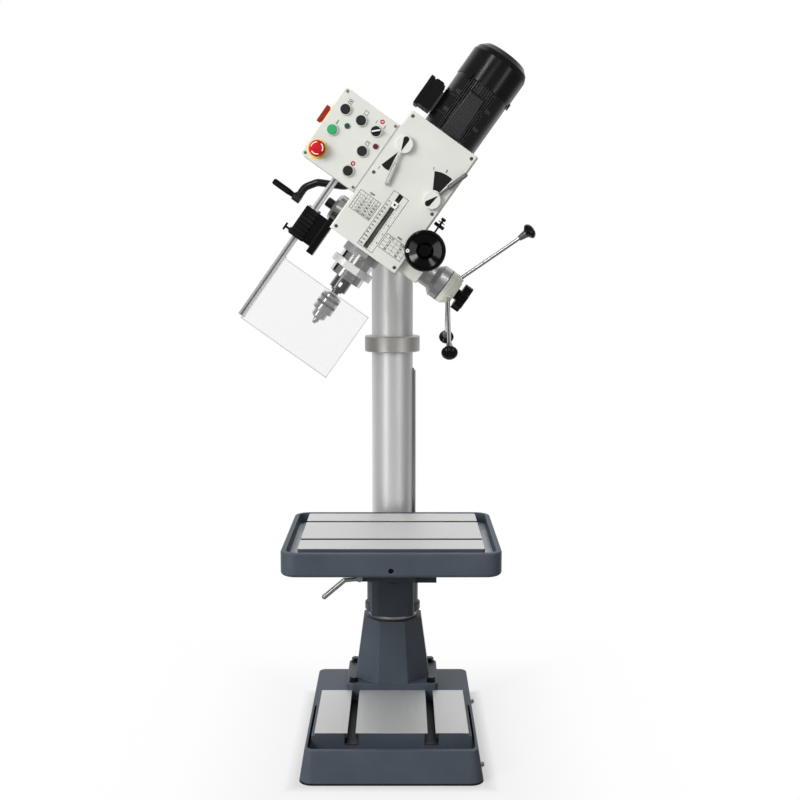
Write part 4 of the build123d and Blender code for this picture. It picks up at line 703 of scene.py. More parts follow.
FINISHES: Tuple[Tuple[Finish, Tuple[str, ...]], ...] = (
    (CastPaint("table_paint", BLUE, 0.46, ON_STAND, bare=TABLE_FIELD), ("work_table",)),
    (CastPaint("base_paint", BLUE, 0.46, ON_STAND, bare=BASE_FIELD), ("base_casting",)),
    (CastPaint("stand_paint", BLUE, 0.46, ON_STAND), ("column_foot", "head_bracket")),
    # The table bracket has the stand's blue paint, darkened: painted shade under the table.
    (CastPaint("bracket_paint", (0.034, 0.042, 0.055), 0.46, ON_STAND), ("table_bracket",)),
    (ColumnSteel("column_steel", (0.74, 0.74, 0.735), 0.44, ON_STAND), ("column_tube",)),
    (Metal("ring_steel", (0.6, 0.58, 0.55), 0.48, ON_STAND, grain=Grain.ROUND_Z), ("column_rings",)),
    (Metal("rack_steel", (0.36, 0.36, 0.355), 0.36, ON_STAND, grain=Grain.ALONG_Y), ("table_rack",)),
    (Metal("gear_steel", (0.45, 0.45, 0.44), 0.34, ON_STAND),
     ("tilt_wheel", "layshaft", "drive_sleeve", "feed_shaft", "feed_worm", "motor_rotor",
      "spindle_bearings")),
    (Metal("wheel_bronze", (0.6, 0.42, 0.2), 0.3, ON_STAND), ("worm_wheel",)),
    (Plastic("blackened_bolts", (0.004, 0.004, 0.0043), 0.32, ON_STAND),
     ("foot_bolts", "table_bolts", "bracket_bolts")),
    (Metal("plate_screw_steel", (0.14, 0.14, 0.135), 0.35), ("plate_screws",)),
    (CastPaint("gearbox_paint", (0.6, 0.61, 0.55), 0.45, peel=0.00015, rub=0.1, bare=NOSE_FIELD),
     ("gearbox_casting",)),
    (SheetPaint("plate_paint", PALE, 0.4), ("front_plate", "control_box", "control_panel")),
    (SheetPaint("hub_enamel", (0.84, 0.83, 0.73), 0.34), ("feed_hub",)),
    (Metal("housing_alloy", (0.52, 0.525, 0.53), 0.38, grain=Grain.ROUND_X), ("feed_housing",)),
    (Metal("quill_steel", (0.7, 0.7, 0.695), 0.17, grain=Grain.ROUND_Z, depth=0.00001, vary=0.08),
     ("quill",)),
    (Metal("spindle_steel", (0.26, 0.26, 0.255), 0.2, grain=Grain.ROUND_Z, depth=0.00001, vary=0.08),
     ("spindle",)),
    (ThreadSteel("depth_steel", (0.8, 0.805, 0.79), 0.4), ("depth_gauge",)),
    (Metal("chuck_steel", (0.72, 0.72, 0.715), 0.17, grain=Grain.ROUND_Z, depth=0.00001, vary=0.08),
     ("drill_chuck",)),
    (Metal("lever_chrome", (0.55, 0.55, 0.55), 0.13, depth=0.000002, streak=0.02, vary=0.03),
     ("feed_levers",)),
    # Both speed levers are one chrome: the left one's pale colour paints a bright reflection, the right one's
    # dark colour paints a dark reflection.
    (TwoTone("speed_lever_left_painted_highlight", (0.72, 0.72, 0.7), 0.34, zone=LEFT_DISC, inner=INLAY,
             inner_rough=0.35), ("speed_lever_left",)),
    (TwoTone("speed_lever_right_painted_shade", (0.22, 0.22, 0.205), 0.38, zone=RIGHT_DISC, inner=INLAY,
             inner_rough=0.35), ("speed_lever_right",)),
    (Metal("clamp_steel", (0.46, 0.46, 0.45), 0.22, ON_STAND, depth=0.000002, streak=0.02, vary=0.03),
     ("table_clamp_lever", "coolant_fittings")),
    (CastPaint("motor_paint", (0.003, 0.003, 0.0032), 0.24, peel=0.00004, gloss=0.5, lift=0.05),
     ("motor_housing", "tilt_crank", "lift_crank")),
    (Plastic("cowl_plastic", SOOT, 0.2, grain=0.00001, gloss=0.28), ("fan_cover",)),
    (CastPaint("terminal_paint", SOOT, 0.5, peel=0.00006, gloss=0.12, lift=0.03), ("terminal_box",)),
    (CastPaint("guard_bracket_paint", (0.0035, 0.0035, 0.0037), 0.24, peel=0.00004, gloss=0.12, rub=0.8,
               lift=0.035), ("guard_bracket",)),
    (TwoTone("spring_case_satin", (0.48, 0.48, 0.485), 0.2, zone=SPRING_KNOB, grain=Grain.ROUND_X),
     ("spring_housing",)),
    (Plastic("gloss_bakelite", BAKELITE, 0.14, grain=0.000004, gloss=0.2),
     ("handwheel", "clutch_knob", "lock_screw", "lift_grip", "tilt_grip", "guard_thumbscrew")),
    (TwoTone("knob_bakelite", BAKELITE, 0.14, zone=KNOB_FERRULE, metal=0.0, inner=(0.3, 0.3, 0.3),
             inner_rough=0.25, inner_metal=1.0, depth=0.000002, gloss=0.3), ("lever_knobs",)),
    (Plastic("button_plastic", (0.018, 0.019, 0.018), 0.45, gloss=0.2),
     ("light_button", "coolant_button", "reverse_button", "off_button", "selector_switch")),
    (FittingPlastic("fitting_plastic", (0.76, 0.77, 0.74), 0.3), ("panel_fittings",)),
    (Plastic("green_plastic", (0.027, 0.36, 0.13), 0.36), ("start_button",)),
    (Plastic("red_plastic", (0.5, 0.005, 0.012), 0.32, gloss=0.2), ("emergency_stop",)),
    (Plastic("switch_plastic", (0.27, 0.01, 0.011), 0.34), ("main_switch",)),
    (TwoTone("post_aluminium", (0.72, 0.725, 0.73), 0.3, zone=POST_GROOVE_SHADE, metal=0.8, inner=(0.3, 0.3, 0.305),
             inner_rough=0.45, inner_metal=0.6, grain=Grain.ALONG_Z), ("guard_post",)),
    (ClearPane("guard_sheet", (0.5, 0.51, 0.52), 0.1), ("guard_pane",)),
)


class Shape:
    """Collects prints and small solids of one depth in one mesh, facing -Y, in mm of its own frame."""

    ARC_STEP = 7.5
    LEAST_STEPS = 6
    ROUND_SEGMENTS = 28
    FLUTE_FLOOR = 0.3
    LETTER_SIZE = 1.38
    LETTER_WEIGHT = 0.05

    def __init__(self, name: str, front: float, back: float) -> None:
        """Start an empty mesh, with Y of its front and rear faces."""
        self.name, self.front, self.back = name, front, back
        self.mesh = bmesh.new()

    def bar(self, x0: float, x1: float, z0: float, z1: float, turn: float = 0.0) -> None:
        """Add a block, turned about its own middle.

        Args:
            x0: Low X.
            x1: High X.
            z0: Low Z.
            z1: High Z.
            turn: Turn about Y in degrees.
        """
        size = Matrix.Diagonal((x1 - x0, self.back - self.front, z1 - z0, 1.0))
        place = turned_at((x0 + x1) / 2, (self.front + self.back) / 2, (z0 + z1) / 2, turn) @ size
        bmesh.ops.create_cube(self.mesh, size=1.0, matrix=place)

    def frame(self, box: Box, width: float) -> None:
        """Add the outline of a rectangle.

        Args:
            box: Low and high X, then low and high Z.
            width: Width of its line.
        """
        x0, x1, z0, z1 = box
        self.bar(x0, x1, z0, z0 + width)
        self.bar(x0, x1, z1 - width, z1)
        self.bar(x0, x0 + width, z0 + width, z1 - width)
        self.bar(x1 - width, x1, z0 + width, z1 - width)

    def sector(self, centre: Point, inner: float, outer: float, start: float = 0.0,
               sweep: float = 360.0) -> None:
        """Add a ring or a part of one.

        Args:
            centre: X and Z of its middle.
            inner: Inner radius.
            outer: Outer radius.
            start: First edge, in degrees clockwise from straight up as seen from the front.
            sweep: Angle that it covers, in degrees.
        """
        made = bmesh.new()
        full = sweep >= 360.0
        loop = [(inner, self.front), (outer, self.front), (outer, self.back), (inner, self.back)]
        points = [made.verts.new((0.0, y, radius)) for radius, y in loop]
        edges = [made.edges.new((points[i], points[(i + 1) % 4])) for i in range(4)]
        if not full:
            made.faces.new(points)
        steps = max(self.LEAST_STEPS, int(sweep / self.ARC_STEP))
        spun = bmesh.ops.spin(made, geom=points + edges, axis=(0, 1, 0), cent=(0, 0, 0), steps=steps,
                              angle=math.radians(sweep), use_merge=full)
        if not full:
            ends = [item for item in spun["geom_last"] if isinstance(item, bmesh.types.BMVert)]
            bmesh.ops.contextual_create(made, geom=ends)
        bmesh.ops.remove_doubles(made, verts=made.verts[:], dist=1e-4)
        bmesh.ops.recalc_face_normals(made, faces=made.faces[:])
        self.absorb(made, turned_at(centre[0], 0.0, centre[1], start))

    def patch(self, outline: Sequence[Point]) -> None:
        """Add a flat piece with any outline.

        Args:
            outline: X and Z of its corners.
        """
        made = bmesh.new()
        face = made.faces.new([made.verts.new((x, self.front, z)) for x, z in outline])
        self.thicken(made, [face], (0.0, self.back - self.front, 0.0))
        self.absorb(made, Matrix())

    def button(self, centre: Point, radius: float, rounding: float) -> None:
        """Add a round head with a bevelled front edge.

        Args:
            centre: X and Z of its middle.
            radius: Its radius.
            rounding: Size of the bevel.
        """
        made = bmesh.new()
        bmesh.ops.create_cone(made, cap_ends=True, segments=self.ROUND_SEGMENTS, radius1=radius,
                              radius2=radius, depth=self.back - self.front, matrix=self.upright(centre))
        rim = [edge for edge in made.edges if all(abs(vert.co.y - self.front) < 1e-4 for vert in edge.verts)]
        bmesh.ops.bevel(made, geom=rim, offset=rounding, segments=3, profile=0.5, affect="EDGES", material=-1)
        self.absorb(made, Matrix())

    def flutes(self, inner: float, outer: float, low: float, count: int) -> None:
        """Add a fluted ring round the Z axis, as high as this shape is deep.

        Args:
            inner: Radius of its bore.
            outer: Radius over the flutes.
            low: Z of its lower face.
            count: Number of flutes.
        """
        made = bmesh.new()
        bmesh.ops.create_circle(made, segments=4 * count, radius=inner)
        crests = bmesh.ops.create_circle(made, segments=4 * count, radius=outer)["verts"]
        for step, vert in enumerate(crests):
            if step % 4 > 1:
                vert.co *= (inner + self.FLUTE_FLOOR) / outer
        flat = bmesh.ops.bridge_loops(made, edges=made.edges[:])["faces"]
        self.thicken(made, flat, (0.0, 0.0, self.back - self.front))
        self.absorb(made, Matrix.Translation((0.0, 0.0, low)))

    @staticmethod
    def thicken(made: bmesh.types.BMesh, faces: Sequence[bmesh.types.BMFace], way: Point3) -> None:
        """Extrude flat faces to a closed solid.

        Args:
            made: Their mesh.
            faces: The faces.
            way: How far they are extruded.
        """
        grown = bmesh.ops.extrude_face_region(made, geom=faces)
        moved = [item for item in grown["geom"] if isinstance(item, bmesh.types.BMVert)]
        bmesh.ops.translate(made, verts=moved, vec=way)
        bmesh.ops.recalc_face_normals(made, faces=made.faces[:])

    def figure(self, text: str, size: float, centre: Point, turn: float = 0.0) -> None:
        """Add plain figures.

        Args:
            text: Digits or a short unit.
            size: Height of the letters.
            centre: X and Z of the middle.
            turn: Turn in degrees clockwise as seen from the front.
        """
        curve = bpy.data.curves.new(self.name + "_figure", "FONT")
        curve.body = text
        curve.size = size * self.LETTER_SIZE
        curve.align_x = "CENTER"
        curve.align_y = "CENTER"
        curve.resolution_u = 2
        curve.offset = size * self.LETTER_WEIGHT
        curve.extrude = (self.back - self.front) / 2
        holder = bpy.data.objects.new(self.name + "_figure", curve)
        bpy.context.scene.collection.objects.link(holder)
        bpy.context.view_layer.update()
        mesh = bpy.data.meshes.new_from_object(holder.evaluated_get(bpy.context.evaluated_depsgraph_get()))
        bpy.data.objects.remove(holder)
        bpy.data.curves.remove(curve)
        made = bmesh.new()
        made.from_mesh(mesh)
        bpy.data.meshes.remove(mesh)
        self.absorb(made, self.upright(centre, turn))

    def upright(self, centre: Point, turn: float = 0.0) -> Matrix:
        """Give the matrix that stands a piece made on the XY plane at a point of this layer."""
        place = turned_at(centre[0], (self.front + self.back) / 2, centre[1], turn)
        return place @ Matrix.Rotation(math.pi / 2, 4, "X")

    def absorb(self, made: bmesh.types.BMesh, place: Matrix) -> None:
        """Move another mesh into this one.

        Args:
            made: The mesh, which is freed.
            place: Where it goes.
        """
        bmesh.ops.transform(made, matrix=place, verts=made.verts[:])
        holder = bpy.data.meshes.new(self.name + "_part")
        made.to_mesh(holder)
        made.free()
        self.mesh.from_mesh(holder)
        bpy.data.meshes.remove(holder)

    def place(self, finish: Finish, body: str, slot: str, local: Optional[Matrix] = None) -> None:
        """Finish the piece and let it ride on a body.

        Args:
            finish: Its surface.
            body: The body that carries it.
            slot: The record's material slot; not used.
            local: From its own frame to the head's, where they differ.
        """
        matrix = head_matrix() @ (local or Matrix())
        bmesh.ops.transform(self.mesh, matrix=matrix, verts=self.mesh.verts[:])
        mesh = bpy.data.meshes.new(self.name)
        self.mesh.to_mesh(mesh)
        self.mesh.free()
        mesh.materials.append(finish.build())
        made = bpy.data.objects.new(self.name, mesh)
        bpy.context.scene.collection.objects.link(made)
        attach(made, body)
        LOG.info("piece %s rides on %s", self.name, body)


@dataclass
class PlatePrint:
    """Printed marks on the front plate, in head millimetres."""

    scale_box: Box = (-22.0, 22.0, -112.0, 44.0)
    zero: float = 15.0
    travel: int = 120
    tick_from: float = 7.2
    tick_long: float = 4.6
    tick_short: float = 2.8
    tick: float = 0.9
    figures_at: float = 16.6
    small: float = 4.4
    middle: float = 5.4
    left_table: Box = (-89.0, -29.0, -53.0, -1.0)
    right_table: Box = (25.0, 89.0, -90.0, -50.0)
    left_rows: Cells = (
        ("", "1", "2", "3"), ("1", "75", "95", "120"), ("2", "150", "190", "240"), ("3", "300", "380", "480"),
        ("4", "600", "760", "960"), ("5", "1200", "1500", "1900"))
    right_rows: Cells = (("0.10", "0.20"), ("12", "24"), ("18", "32"), ("25", "40"))
    figures: Tuple[Tuple[str, float, Point, float], ...] = (
        ("rpm", 6.0, (-59.0, 6.0), 0.0), ("mm", 6.0, (57.0, -43.0), 0.0), ("1", 7.0, (26.5, 141.5), -28.0),
        ("2", 7.0, (56.0, 154.0), -8.0), ("1", 7.0, (-83.0, 66.0), 0.0))
    left_sector: Tuple[Point, ...] = (
        (-67.0, 123.0), (-59.5, 74.0), (-67.0, 72.4), (-75.0, 73.0), (-82.5, 75.5))
    right_sector: Tuple[Point, float, float, float, float] = ((67.0, 76.0), 26.0, 71.0, -30.0, 39.0)
    fine: float = 0.7
    heavy: float = 1.1
    ink: Ink = Ink("plate_ink", (0.014, 0.0145, 0.012), 0.5)

    def scale(self, shape: Shape) -> None:
        """Print the depth scale beside the slot.

        Args:
            shape: The mesh to add to.
        """
        shape.frame(self.scale_box, self.heavy)
        for step in range(0, self.travel + 1, 5):
            low, high = self.zero - step - self.tick / 2, self.zero - step + self.tick / 2
            reach = self.tick_from + (self.tick_long if step % 10 == 0 else self.tick_short)
            shape.bar(-reach, -self.tick_from, low, high)
            shape.bar(self.tick_from, reach, low, high)
            if step % 10 == 0:
                shape.figure(str(step), self.small, (-self.figures_at, self.zero - step))
            if step % 25 == 0 and step:
                shape.figure(str(step // 25), self.small, (self.figures_at, self.zero - step))

    def table(self, shape: Shape, box: Box, rows: Cells, size: float) -> None:
        """Print a table of plain numbers.

        Args:
            shape: The mesh to add to.
            box: Left, right, low and high edges.
            rows: The cells, top row first.
            size: Height of the figures.
        """
        x0, x1, z0, z1 = box
        shape.frame(box, self.heavy)
        across, down, half = (x1 - x0) / len(rows[0]), (z1 - z0) / len(rows), self.fine / 2
        for index in range(1, len(rows)):
            shape.bar(x0, x1, z1 - index * down - half, z1 - index * down + half)
        for index in range(1, len(rows[0])):
            shape.bar(x0 + index * across - half, x0 + index * across + half, z0, z1)
        for row, cells in enumerate(rows):
            for column, text in enumerate(cells):
                if text:
                    shape.figure(text, size, (x0 + (column + 0.5) * across, z1 - (row + 0.5) * down))

    def build(self) -> None:
        """Make the print, with the lever sectors and their position numbers."""
        shape = Shape("plate_print", PLATE_FRONT - PRINT_OUT, PLATE_FRONT + PRINT_IN)
        self.scale(shape)
        self.table(shape, self.left_table, self.left_rows, self.small)
        self.table(shape, self.right_table, self.right_rows, self.middle)
        shape.patch(self.left_sector)
        shape.sector(*self.right_sector)
        for figure in self.figures:
            shape.figure(*figure)
        shape.place(self.ink, "head", "grey_paint")


@dataclass
class LeverMarks:
    """Black teardrop inlays on the speed levers' discs, in head millimetres."""

    levers: Tuple[Tuple[str, Point, float], ...] = (
        ("left", (-65.0, 146.0), 169.0), ("right", (67.0, 76.0), 18.0))
    reach: float = 19.5
    width: float = 7.0
    tip: float = 19.0
    first: float = -8.0
    sweep: float = 196.0
    steps: int = 12
    front: float = DISC_FRONT - 0.4
    back: float = DISC_FRONT + 0.5
    ink: Ink = Ink("lever_ink", (0.012, 0.0125, 0.01), 0.4)

    def build(self) -> None:
        """Make the inlays."""
        outline: List[Point] = [(0.0, self.tip)]
        for step in range(self.steps + 1):
            turn = math.radians(self.first + self.sweep * step / self.steps)
            across, up = self.width * math.cos(turn), self.width * math.sin(turn)
            outline.append((across, self.width - self.reach - up))
        for side, (x, z), angle in self.levers:
            lever = "speed_lever_" + side
            shape = Shape(lever + "_mark", self.front, self.back)
            shape.patch(outline)
            shape.place(self.ink, lever, "black_plastic", turned_at(x, 0.0, z, angle))


@dataclass
class PanelMarks:
    """Screws and plain symbols on the control panel, in head millimetres."""

    corners: Tuple[Point, ...] = ((-249.5, 169.5), (-107.5, 169.0), (-249.5, -8.5), (-107.5, -9.0))
    screw_radius: float = 3.6
    screw_bevel: float = 0.9
    cross_half: Point = (2.2, 0.45)
    cross_turns: Point = (40.0, 130.0)
    bold: float = 1.1
    square_half: float = 5.2
    dark_squares: Tuple[Point, ...] = ((-228.5, 154.0), (-139.0, 97.0))
    funnel: Tuple[Point, ...] = ((-231.0, 156.0), (-226.0, 156.0), (-228.5, 151.5))
    arc: Tuple[Point, float, float, float, float] = ((-139.0, 97.0), 1.8, 2.9, -90.0, 180.0)
    dark_bar: Box = (-128.0, -126.2, 147.0, 156.5)
    green_squares: Tuple[Point, ...] = ((-182.5, 154.0),)
    green_bars: Tuple[Box, ...] = ((-228.7, -226.2, 90.5, 102.5), (-151.4, -149.8, 147.0, 156.5))
    red_rings: Tuple[Point, ...] = ((-139.0, 159.5), (-140.0, 37.5))
    ring_radii: Point = (2.4, 5.6)
    seam: Box = (-101.9, -100.35, -16.0, 176.5)
    selector_bar: Box = (-140.6, -137.4, 122.0, 142.0)
    selector_turn: float = 45.0
    stop_at: Point = (-230.0, 16.0)
    stop_radii: Point = (13.2, 15.4)
    stop_starts: Point3 = (10.0, 130.0, 250.0)
    stop_sweep: float = 76.0
    dark: Ink = Ink("symbol_ink", (0.02, 0.021, 0.018), 0.5)
    grey: Ink = Ink("gap_shade_ink", (0.2, 0.2, 0.19), 0.6)
    green: Ink = Ink("symbol_green", (0.02, 0.2, 0.06), 0.5)
    red: Ink = Ink("symbol_red", (0.42, 0.01, 0.02), 0.5)
    white: Ink = Ink("symbol_white", (0.85, 0.85, 0.84), 0.45)
    screw: Metal = Metal("panel_screw_steel", (0.3, 0.3, 0.29), 0.35)

    @staticmethod
    def layer(name: str, out: float = PRINT_OUT, inward: float = PRINT_IN) -> Shape:
        """Start a shape that stands out of the panel's face and goes into it."""
        return Shape(name, PANEL_FRONT - out, PANEL_FRONT + inward)

    def squares(self, shape: Shape, centres: Tuple[Point, ...]) -> None:
        """Print square outlines.

        Args:
            shape: The mesh to add to.
            centres: X and Z of their middles.
        """
        half = self.square_half
        for x, z in centres:
            for low, high in ((-half, self.bold - half), (half - self.bold, half)):
                shape.bar(x - half, x + half, z + low, z + high)
                shape.bar(x + low, x + high, z - half, z + half)

    def screws(self) -> None:
        """Make the corner screws, with dark crosses that paint the shade in their recesses."""
        heads = self.layer("panel_corner_screws", 1.8, 0.3)
        # Dark bars on each head stand for the cross recess: painted shade.
        cross_shade_bars = self.layer("panel_screw_cross_shade", 1.86, -1.2)
        length, width = self.cross_half
        for x, z in self.corners:
            heads.button((x, z), self.screw_radius, self.screw_bevel)
            for turn in self.cross_turns:
                cross_shade_bars.bar(x - length, x + length, z - width, z + width, turn)
        heads.place(self.screw, "head", "black_bolt")
        cross_shade_bars.place(self.dark, "head", "black_bolt")

    def symbols(self) -> None:
        """Print the symbols and lay a dark strip beside the panel that paints the shade of the gap there."""
        dark = self.layer("panel_symbols_dark")
        self.squares(dark, self.dark_squares)
        dark.patch(self.funnel)
        dark.sector(*self.arc)
        dark.bar(*self.dark_bar)
        dark.place(self.dark, "head", "bezel_plastic")
        green = self.layer("panel_symbols_green")
        self.squares(green, self.green_squares)
        for bar in self.green_bars:
            green.bar(*bar)
        green.place(self.green, "head", "green_plastic")
        red = self.layer("panel_symbols_red")
        for centre in self.red_rings:
            red.sector(centre, *self.ring_radii)
        red.place(self.red, "head", "red_plastic")
        # A dark strip along the joint of panel and plate: painted shade for the narrow gap between them.
        seal = self.layer("panel_gap_shade", 0.4, 0.5)
        seal.bar(*self.seam)
        seal.place(self.grey, "head", "black_plastic")

    def switches(self) -> None:
        """Make the white bar of the selector and the arcs of the stop button."""
        line = self.layer("selector_line", 15.25, -14.7)
        line.bar(*self.selector_bar, self.selector_turn)
        line.place(self.white, "selector_switch", "bezel_plastic")
        arcs = self.layer("stop_arrows", 25.4, -22.0)
        for start in self.stop_starts:
            arcs.sector(self.stop_at, *self.stop_radii, start, self.stop_sweep)
        arcs.place(self.white, "emergency_stop", "bezel_plastic")

    def build(self) -> None:
        """Make the screws, the symbols and the marks of the switches."""
        self.screws()
        self.symbols()
        self.switches()


@dataclass
class SmallParts:
    """Ribs of the motor's pad, knurled bands of the chuck, seal of the hub, handwheel eye and pointer dot."""

    ribs_at: Point3 = (9.0, -39.9, 243.0)
    ribs_slope: float = -0.963
    ribs_aside: int = 3
    rib_length: float = 106.0
    rib_pitch: Point = (7.0, 5.5)
    rib_half: float = 1.1
    knurl_lows: Point = (-272.7, -289.7)
    knurl_height: float = 7.4
    knurl_radii: Point = (24.9, 25.9)
    knurl_count: int = 40
    seal_at: Point3 = (218.2, 54.5, -71.5)
    seal_radii: Point = (41.5, 44.9)
    seal_half: float = 0.8
    eye_at: Point = (89.5, -57.0)
    eye_radii: Point = (1.5, 4.6)
    eye_depth: Point = (-151.6, -146.5)
    dot_at: Point = (0.0, 15.0)
    dot_radius: float = 3.0
    dot_bevel: float = 0.3
    # The ribs are of the motor's black paint; their lighter colour is a painted highlight along them.
    rib_paint: Plastic = Plastic("rib_paint", (0.035, 0.035, 0.037), 0.4)
    # The knurled bands are of the chuck's steel; their dark colour is painted shade in their grooves.
    knurl_steel: Metal = Metal("knurl_steel", (0.1, 0.1, 0.1), 0.3, metal=0.7)
    seal_ink: Ink = Ink("seal_ink", (0.006, 0.006, 0.006), 0.5)
    eye_chrome: Metal = Metal("eye_chrome", (0.85, 0.85, 0.84), 0.25, streak=0.03, metal=0.2)
    dot_ink: Ink = Ink("pointer_ink", (0.015, 0.015, 0.015), 0.4)

    def pad_ribs(self) -> None:
        """Make the ribs of the motor's pad, which close up towards its top."""
        shape = Shape("motor_pad_ribs", -1.2, 0.6)
        foot, top = self.rib_pitch
        for step in range(-self.ribs_aside, self.ribs_aside + 1):
            x = step * (foot + top) / 2
            turn = math.degrees(math.atan(step * (top - foot) / self.rib_length))
            shape.bar(x - self.rib_half, x + self.rib_half, 0.0, self.rib_length, turn)
        lean = Matrix.Translation(self.ribs_at) @ Matrix.Rotation(math.radians(self.ribs_slope), 4, "X")
        shape.place(self.rib_paint, "head", "black_paint", lean)

    def build(self) -> None:
        """Make them."""
        self.pad_ribs()
        rings = Shape("chuck_knurls", 0.0, self.knurl_height)
        for low in self.knurl_lows:
            rings.flutes(*self.knurl_radii, low, self.knurl_count)
        rings.place(self.knurl_steel, "spindle", "ground_steel")
        seal = Shape("hub_seal", -self.seal_half, self.seal_half)
        seal.sector((0.0, 0.0), *self.seal_radii)
        side = Matrix.Translation(self.seal_at) @ Matrix.Rotation(math.pi / 2, 4, "Z")
        seal.place(self.seal_ink, "head", "black_plastic", side)
        eye = Shape("handwheel_eye", *self.eye_depth)
        eye.sector(self.eye_at, *self.eye_radii)
        eye.place(self.eye_chrome, "fine_feed", "ground_steel")
        dot = Shape("depth_pointer_dot", PLATE_FRONT - 3.6, PLATE_FRONT - 2.8)
        dot.button(self.dot_at, self.dot_radius, self.dot_bevel)
        dot.place(self.dot_ink, "quill", "black_plastic")


@dataclass(frozen=True)
class Lamp:
    """A soft lamp out of the camera's view, which only lights or else is only mirrored."""

    name: str
    at: Point3
    target: Point3
    size: Point
    power: float
    mirror: bool = False

    def build(self) -> None:
        """Make the lamp."""
        light = bpy.data.lights.new(self.name, "AREA")
        light.shape = "RECTANGLE"
        light.size, light.size_y = self.size
        light.energy = self.power
        holder = bpy.data.objects.new(self.name, light)
        holder.location = self.at
        way = Vector(self.target) - Vector(self.at)
        holder.rotation_euler = way.to_track_quat("-Z", "Y").to_euler()
        holder.visible_camera = False
        holder.visible_glossy = self.mirror
        holder.visible_diffuse = not self.mirror
        bpy.context.scene.collection.objects.link(holder)


def soft_box(name: str, bearing: float, width: float, low: float, high: float, power: float,
             away: float = 3.0) -> Lamp:
    """Describe an upright soft box that is only mirrored.

    Args:
        name: Its name.
        bearing: Its way from the column, in degrees to the right of the front.
        width: Its width in metres.
        low: Height of its lower edge.
        high: Height of its upper edge.
        power: Power in watts.
        away: Its distance from the column.

    Returns:
        The lamp.
    """
    turn, middle = math.radians(bearing), (low + high) / 2
    at = (away * math.sin(turn), -away * math.cos(turn), middle)
    return Lamp(name, at, (0.0, 0.0, middle), (width, high - low), power, True)


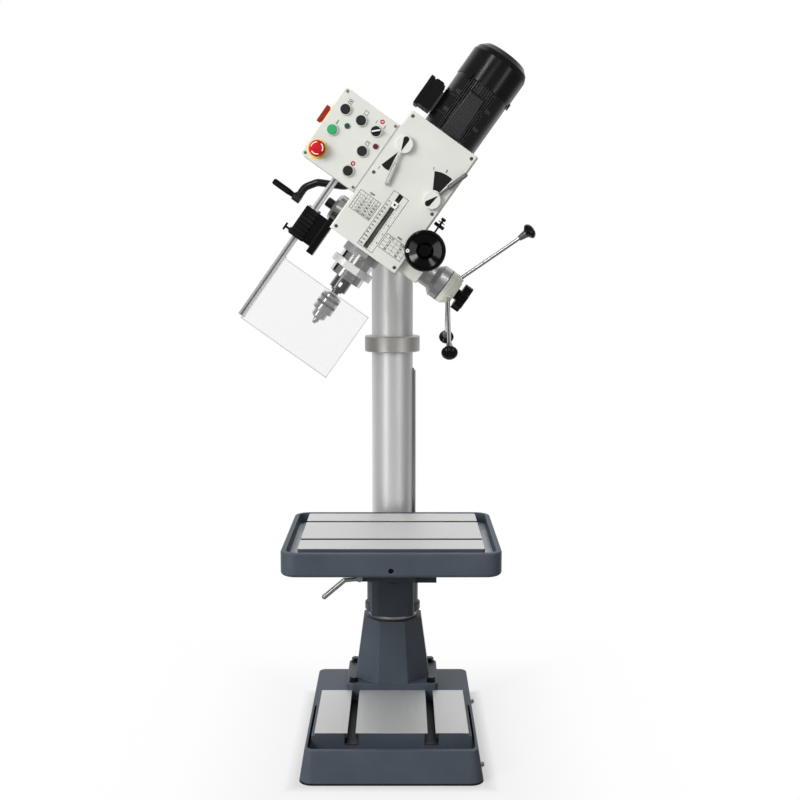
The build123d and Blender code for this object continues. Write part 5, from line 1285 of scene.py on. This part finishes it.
@dataclass
class Studio:
    """Pale floor, soft lights, white surround and the camera."""

    camera_at: Point3 = (0.0216, -3.298, 1.3036)
    camera_pitch: float = 83.21
    lens: float = 52.75
    sensor: float = 36.0
    sky: float = 0.16
    sky_from_left: float = 0.95
    sky_from_above: float = 0.3
    left_way: Point3 = (-0.737, -0.609, 0.295)
    room: float = 0.24
    white: Colour = (1.0, 1.0, 1.0)
    floor_half: float = 14.0
    floor_tones: Point = (0.5, 0.55)
    lamps: Tuple[Lamp, ...] = (
        Lamp("key_lamp", (-2.4, -2.6, 2.5), (0.0, -0.2, 0.9), (1.6, 1.6), 90.0),
        Lamp("back_lamp", (0.6, 2.2, 3.6), (0.0, -0.2, 0.9), (2.0, 2.0), 50.0),
        soft_box("left_box", -36.0, 0.6, 0.1, 2.3, 16.0), soft_box("right_box", 40.0, 0.45, 0.1, 2.3, 8.0),
        soft_box("high_left_box", -21.0, 0.45, 2.9, 4.4, 18.0),
        soft_box("high_right_box", 38.0, 0.35, 1.95, 2.75, 18.0),
        soft_box("front_box", -4.0, 1.4, 1.75, 2.65, 5.0, 3.5))
    base_middle: Point = (0.0, -0.1925)
    base_half: Point = (0.24, 0.317)
    shadow_reach: Tuple[Point, ...] = ((0.0, 0.45), (0.03, 0.8), (0.3, 0.97), (0.6, 1.0))

    @staticmethod
    def mirrored(graph: Graph, way: Wire) -> Wire:
        """Give 1 for ways to the white behind the part, and 0 for ways to the room before it."""
        level = graph.vector("NORMALIZE", graph.vector("MULTIPLY", way, (1.0, 1.0, 0.0)), (0.0, 0.0, 0.0))
        return graph.ramp(level.axis("Y"), (0.2, 0.0), (0.7, 1.0))

    @staticmethod
    def ray(graph: Graph, kind: str) -> Wire:
        """Give 1 for rays of one kind."""
        return graph.node("ShaderNodeLightPath", output="Is " + kind + " Ray")

    def looked_at(self, graph: Graph) -> Wire:
        """Give 1 for rays that look straight at the surround or through the pane."""
        camera = self.ray(graph, "Camera")
        return camera.maths("MAXIMUM", camera, self.ray(graph, "Transmission"))

    def floor(self) -> None:
        """Lay the floor, which is white to the camera and keeps the shadow."""
        mesh = bmesh.new()
        bmesh.ops.create_grid(mesh, x_segments=1, y_segments=1, size=self.floor_half)
        data = bpy.data.meshes.new("studio_floor")
        mesh.to_mesh(data)
        mesh.free()
        material = bpy.data.materials.new("studio_floor")
        material.use_nodes = True
        graph = Graph(material.node_tree)
        spot = graph.place(Place.STAND)
        dark, pale = (rgba(self.white, tone) for tone in self.floor_tones)
        matt = graph.mix(graph.noise(spot, 2.0, 2.0), dark, pale)
        matt = graph.node("ShaderNodeBsdfDiffuse", inputs={"Color": matt})
        gloss = self.ray(graph, "Glossy")
        room = self.mirrored(graph, spot) * (1.0 - self.room) + self.room
        glow = graph.mix(gloss, rgba(self.white), room)
        glow = graph.node("ShaderNodeEmission", inputs={"Color": glow, "Strength": 1.0})
        beside = abs(spot.axis("X") - self.base_middle[0]) - self.base_half[0]
        beyond = abs(spot.axis("Y") - self.base_middle[1]) - self.base_half[1]
        away = beside.maths("MAXIMUM", beside, beyond)
        share = self.looked_at(graph) * graph.ramp(away, *self.shadow_reach) + gloss
        graph.close(graph.node("ShaderNodeMixShader", inputs={0: share, 1: matt, 2: glow}))
        data.materials.append(material)
        ground = bpy.data.objects.new("studio_floor", data)
        bpy.context.scene.collection.objects.link(ground)

    def surround(self) -> None:
        """Light the part softly from all round, most from the left, with white in view."""
        world = bpy.data.worlds.new("studio_world")
        world.use_nodes = True
        graph = Graph(world.node_tree)
        way = graph.node("ShaderNodeTexCoord", output="Generated")
        left = graph.ramp(graph.vector("DOT_PRODUCT", way, self.left_way, "Value"), (0.0, 0.0), (1.0, 1.0))
        above = graph.ramp(way.axis("Z"), (0.0, 0.0), (1.0, 1.0))
        light = self.sky + left * self.sky_from_left + above * self.sky_from_above
        high = graph.ramp(way.axis("Z"), (0.1, 0.05), (0.3, 1.0))
        room = self.mirrored(graph, way) * high * (1.0 - self.room) + self.room
        light = graph.mix(self.ray(graph, "Glossy"), light, room)
        light = graph.mix(self.looked_at(graph), light, rgba(self.white))
        shell = graph.node("ShaderNodeBackground", inputs={"Color": light, "Strength": 1.0})
        graph.close(shell, "ShaderNodeOutputWorld")
        bpy.context.scene.world = world

    def camera(self) -> None:
        """Set the camera."""
        data = bpy.data.cameras.new("photo_camera")
        data.lens = self.lens
        data.sensor_width = self.sensor
        data.dof.use_dof = False
        holder = bpy.data.objects.new("photo_camera", data)
        holder.location = self.camera_at
        holder.rotation_euler = (math.radians(self.camera_pitch), 0.0, 0.0)
        bpy.context.scene.collection.objects.link(holder)
        bpy.context.scene.camera = holder

    def build(self) -> None:
        """Set the stage."""
        self.floor()
        self.surround()
        for lamp in self.lamps:
            lamp.build()
        self.camera()
        bpy.context.scene.view_settings.view_transform = "Standard"


def dress_nodes() -> None:
    """Give every CAD node its finish."""
    for finish, nodes in FINISHES:
        material = finish.build()
        for name in nodes:
            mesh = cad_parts[name].data
            for index in range(max(1, len(mesh.materials))):
                if index < len(mesh.materials):
                    mesh.materials[index] = material
                else:
                    mesh.materials.append(material)
            LOG.info("node %s wears %s", name, finish.name)


def main() -> None:
    """Build everything in order."""
    logging.basicConfig(level=logging.INFO, format="%(name)s: %(message)s")
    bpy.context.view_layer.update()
    Studio().build()
    dress_nodes()
    PlatePrint().build()
    LeverMarks().build()
    PanelMarks().build()
    SmallParts().build()


if __name__ == "__main__":
    main()
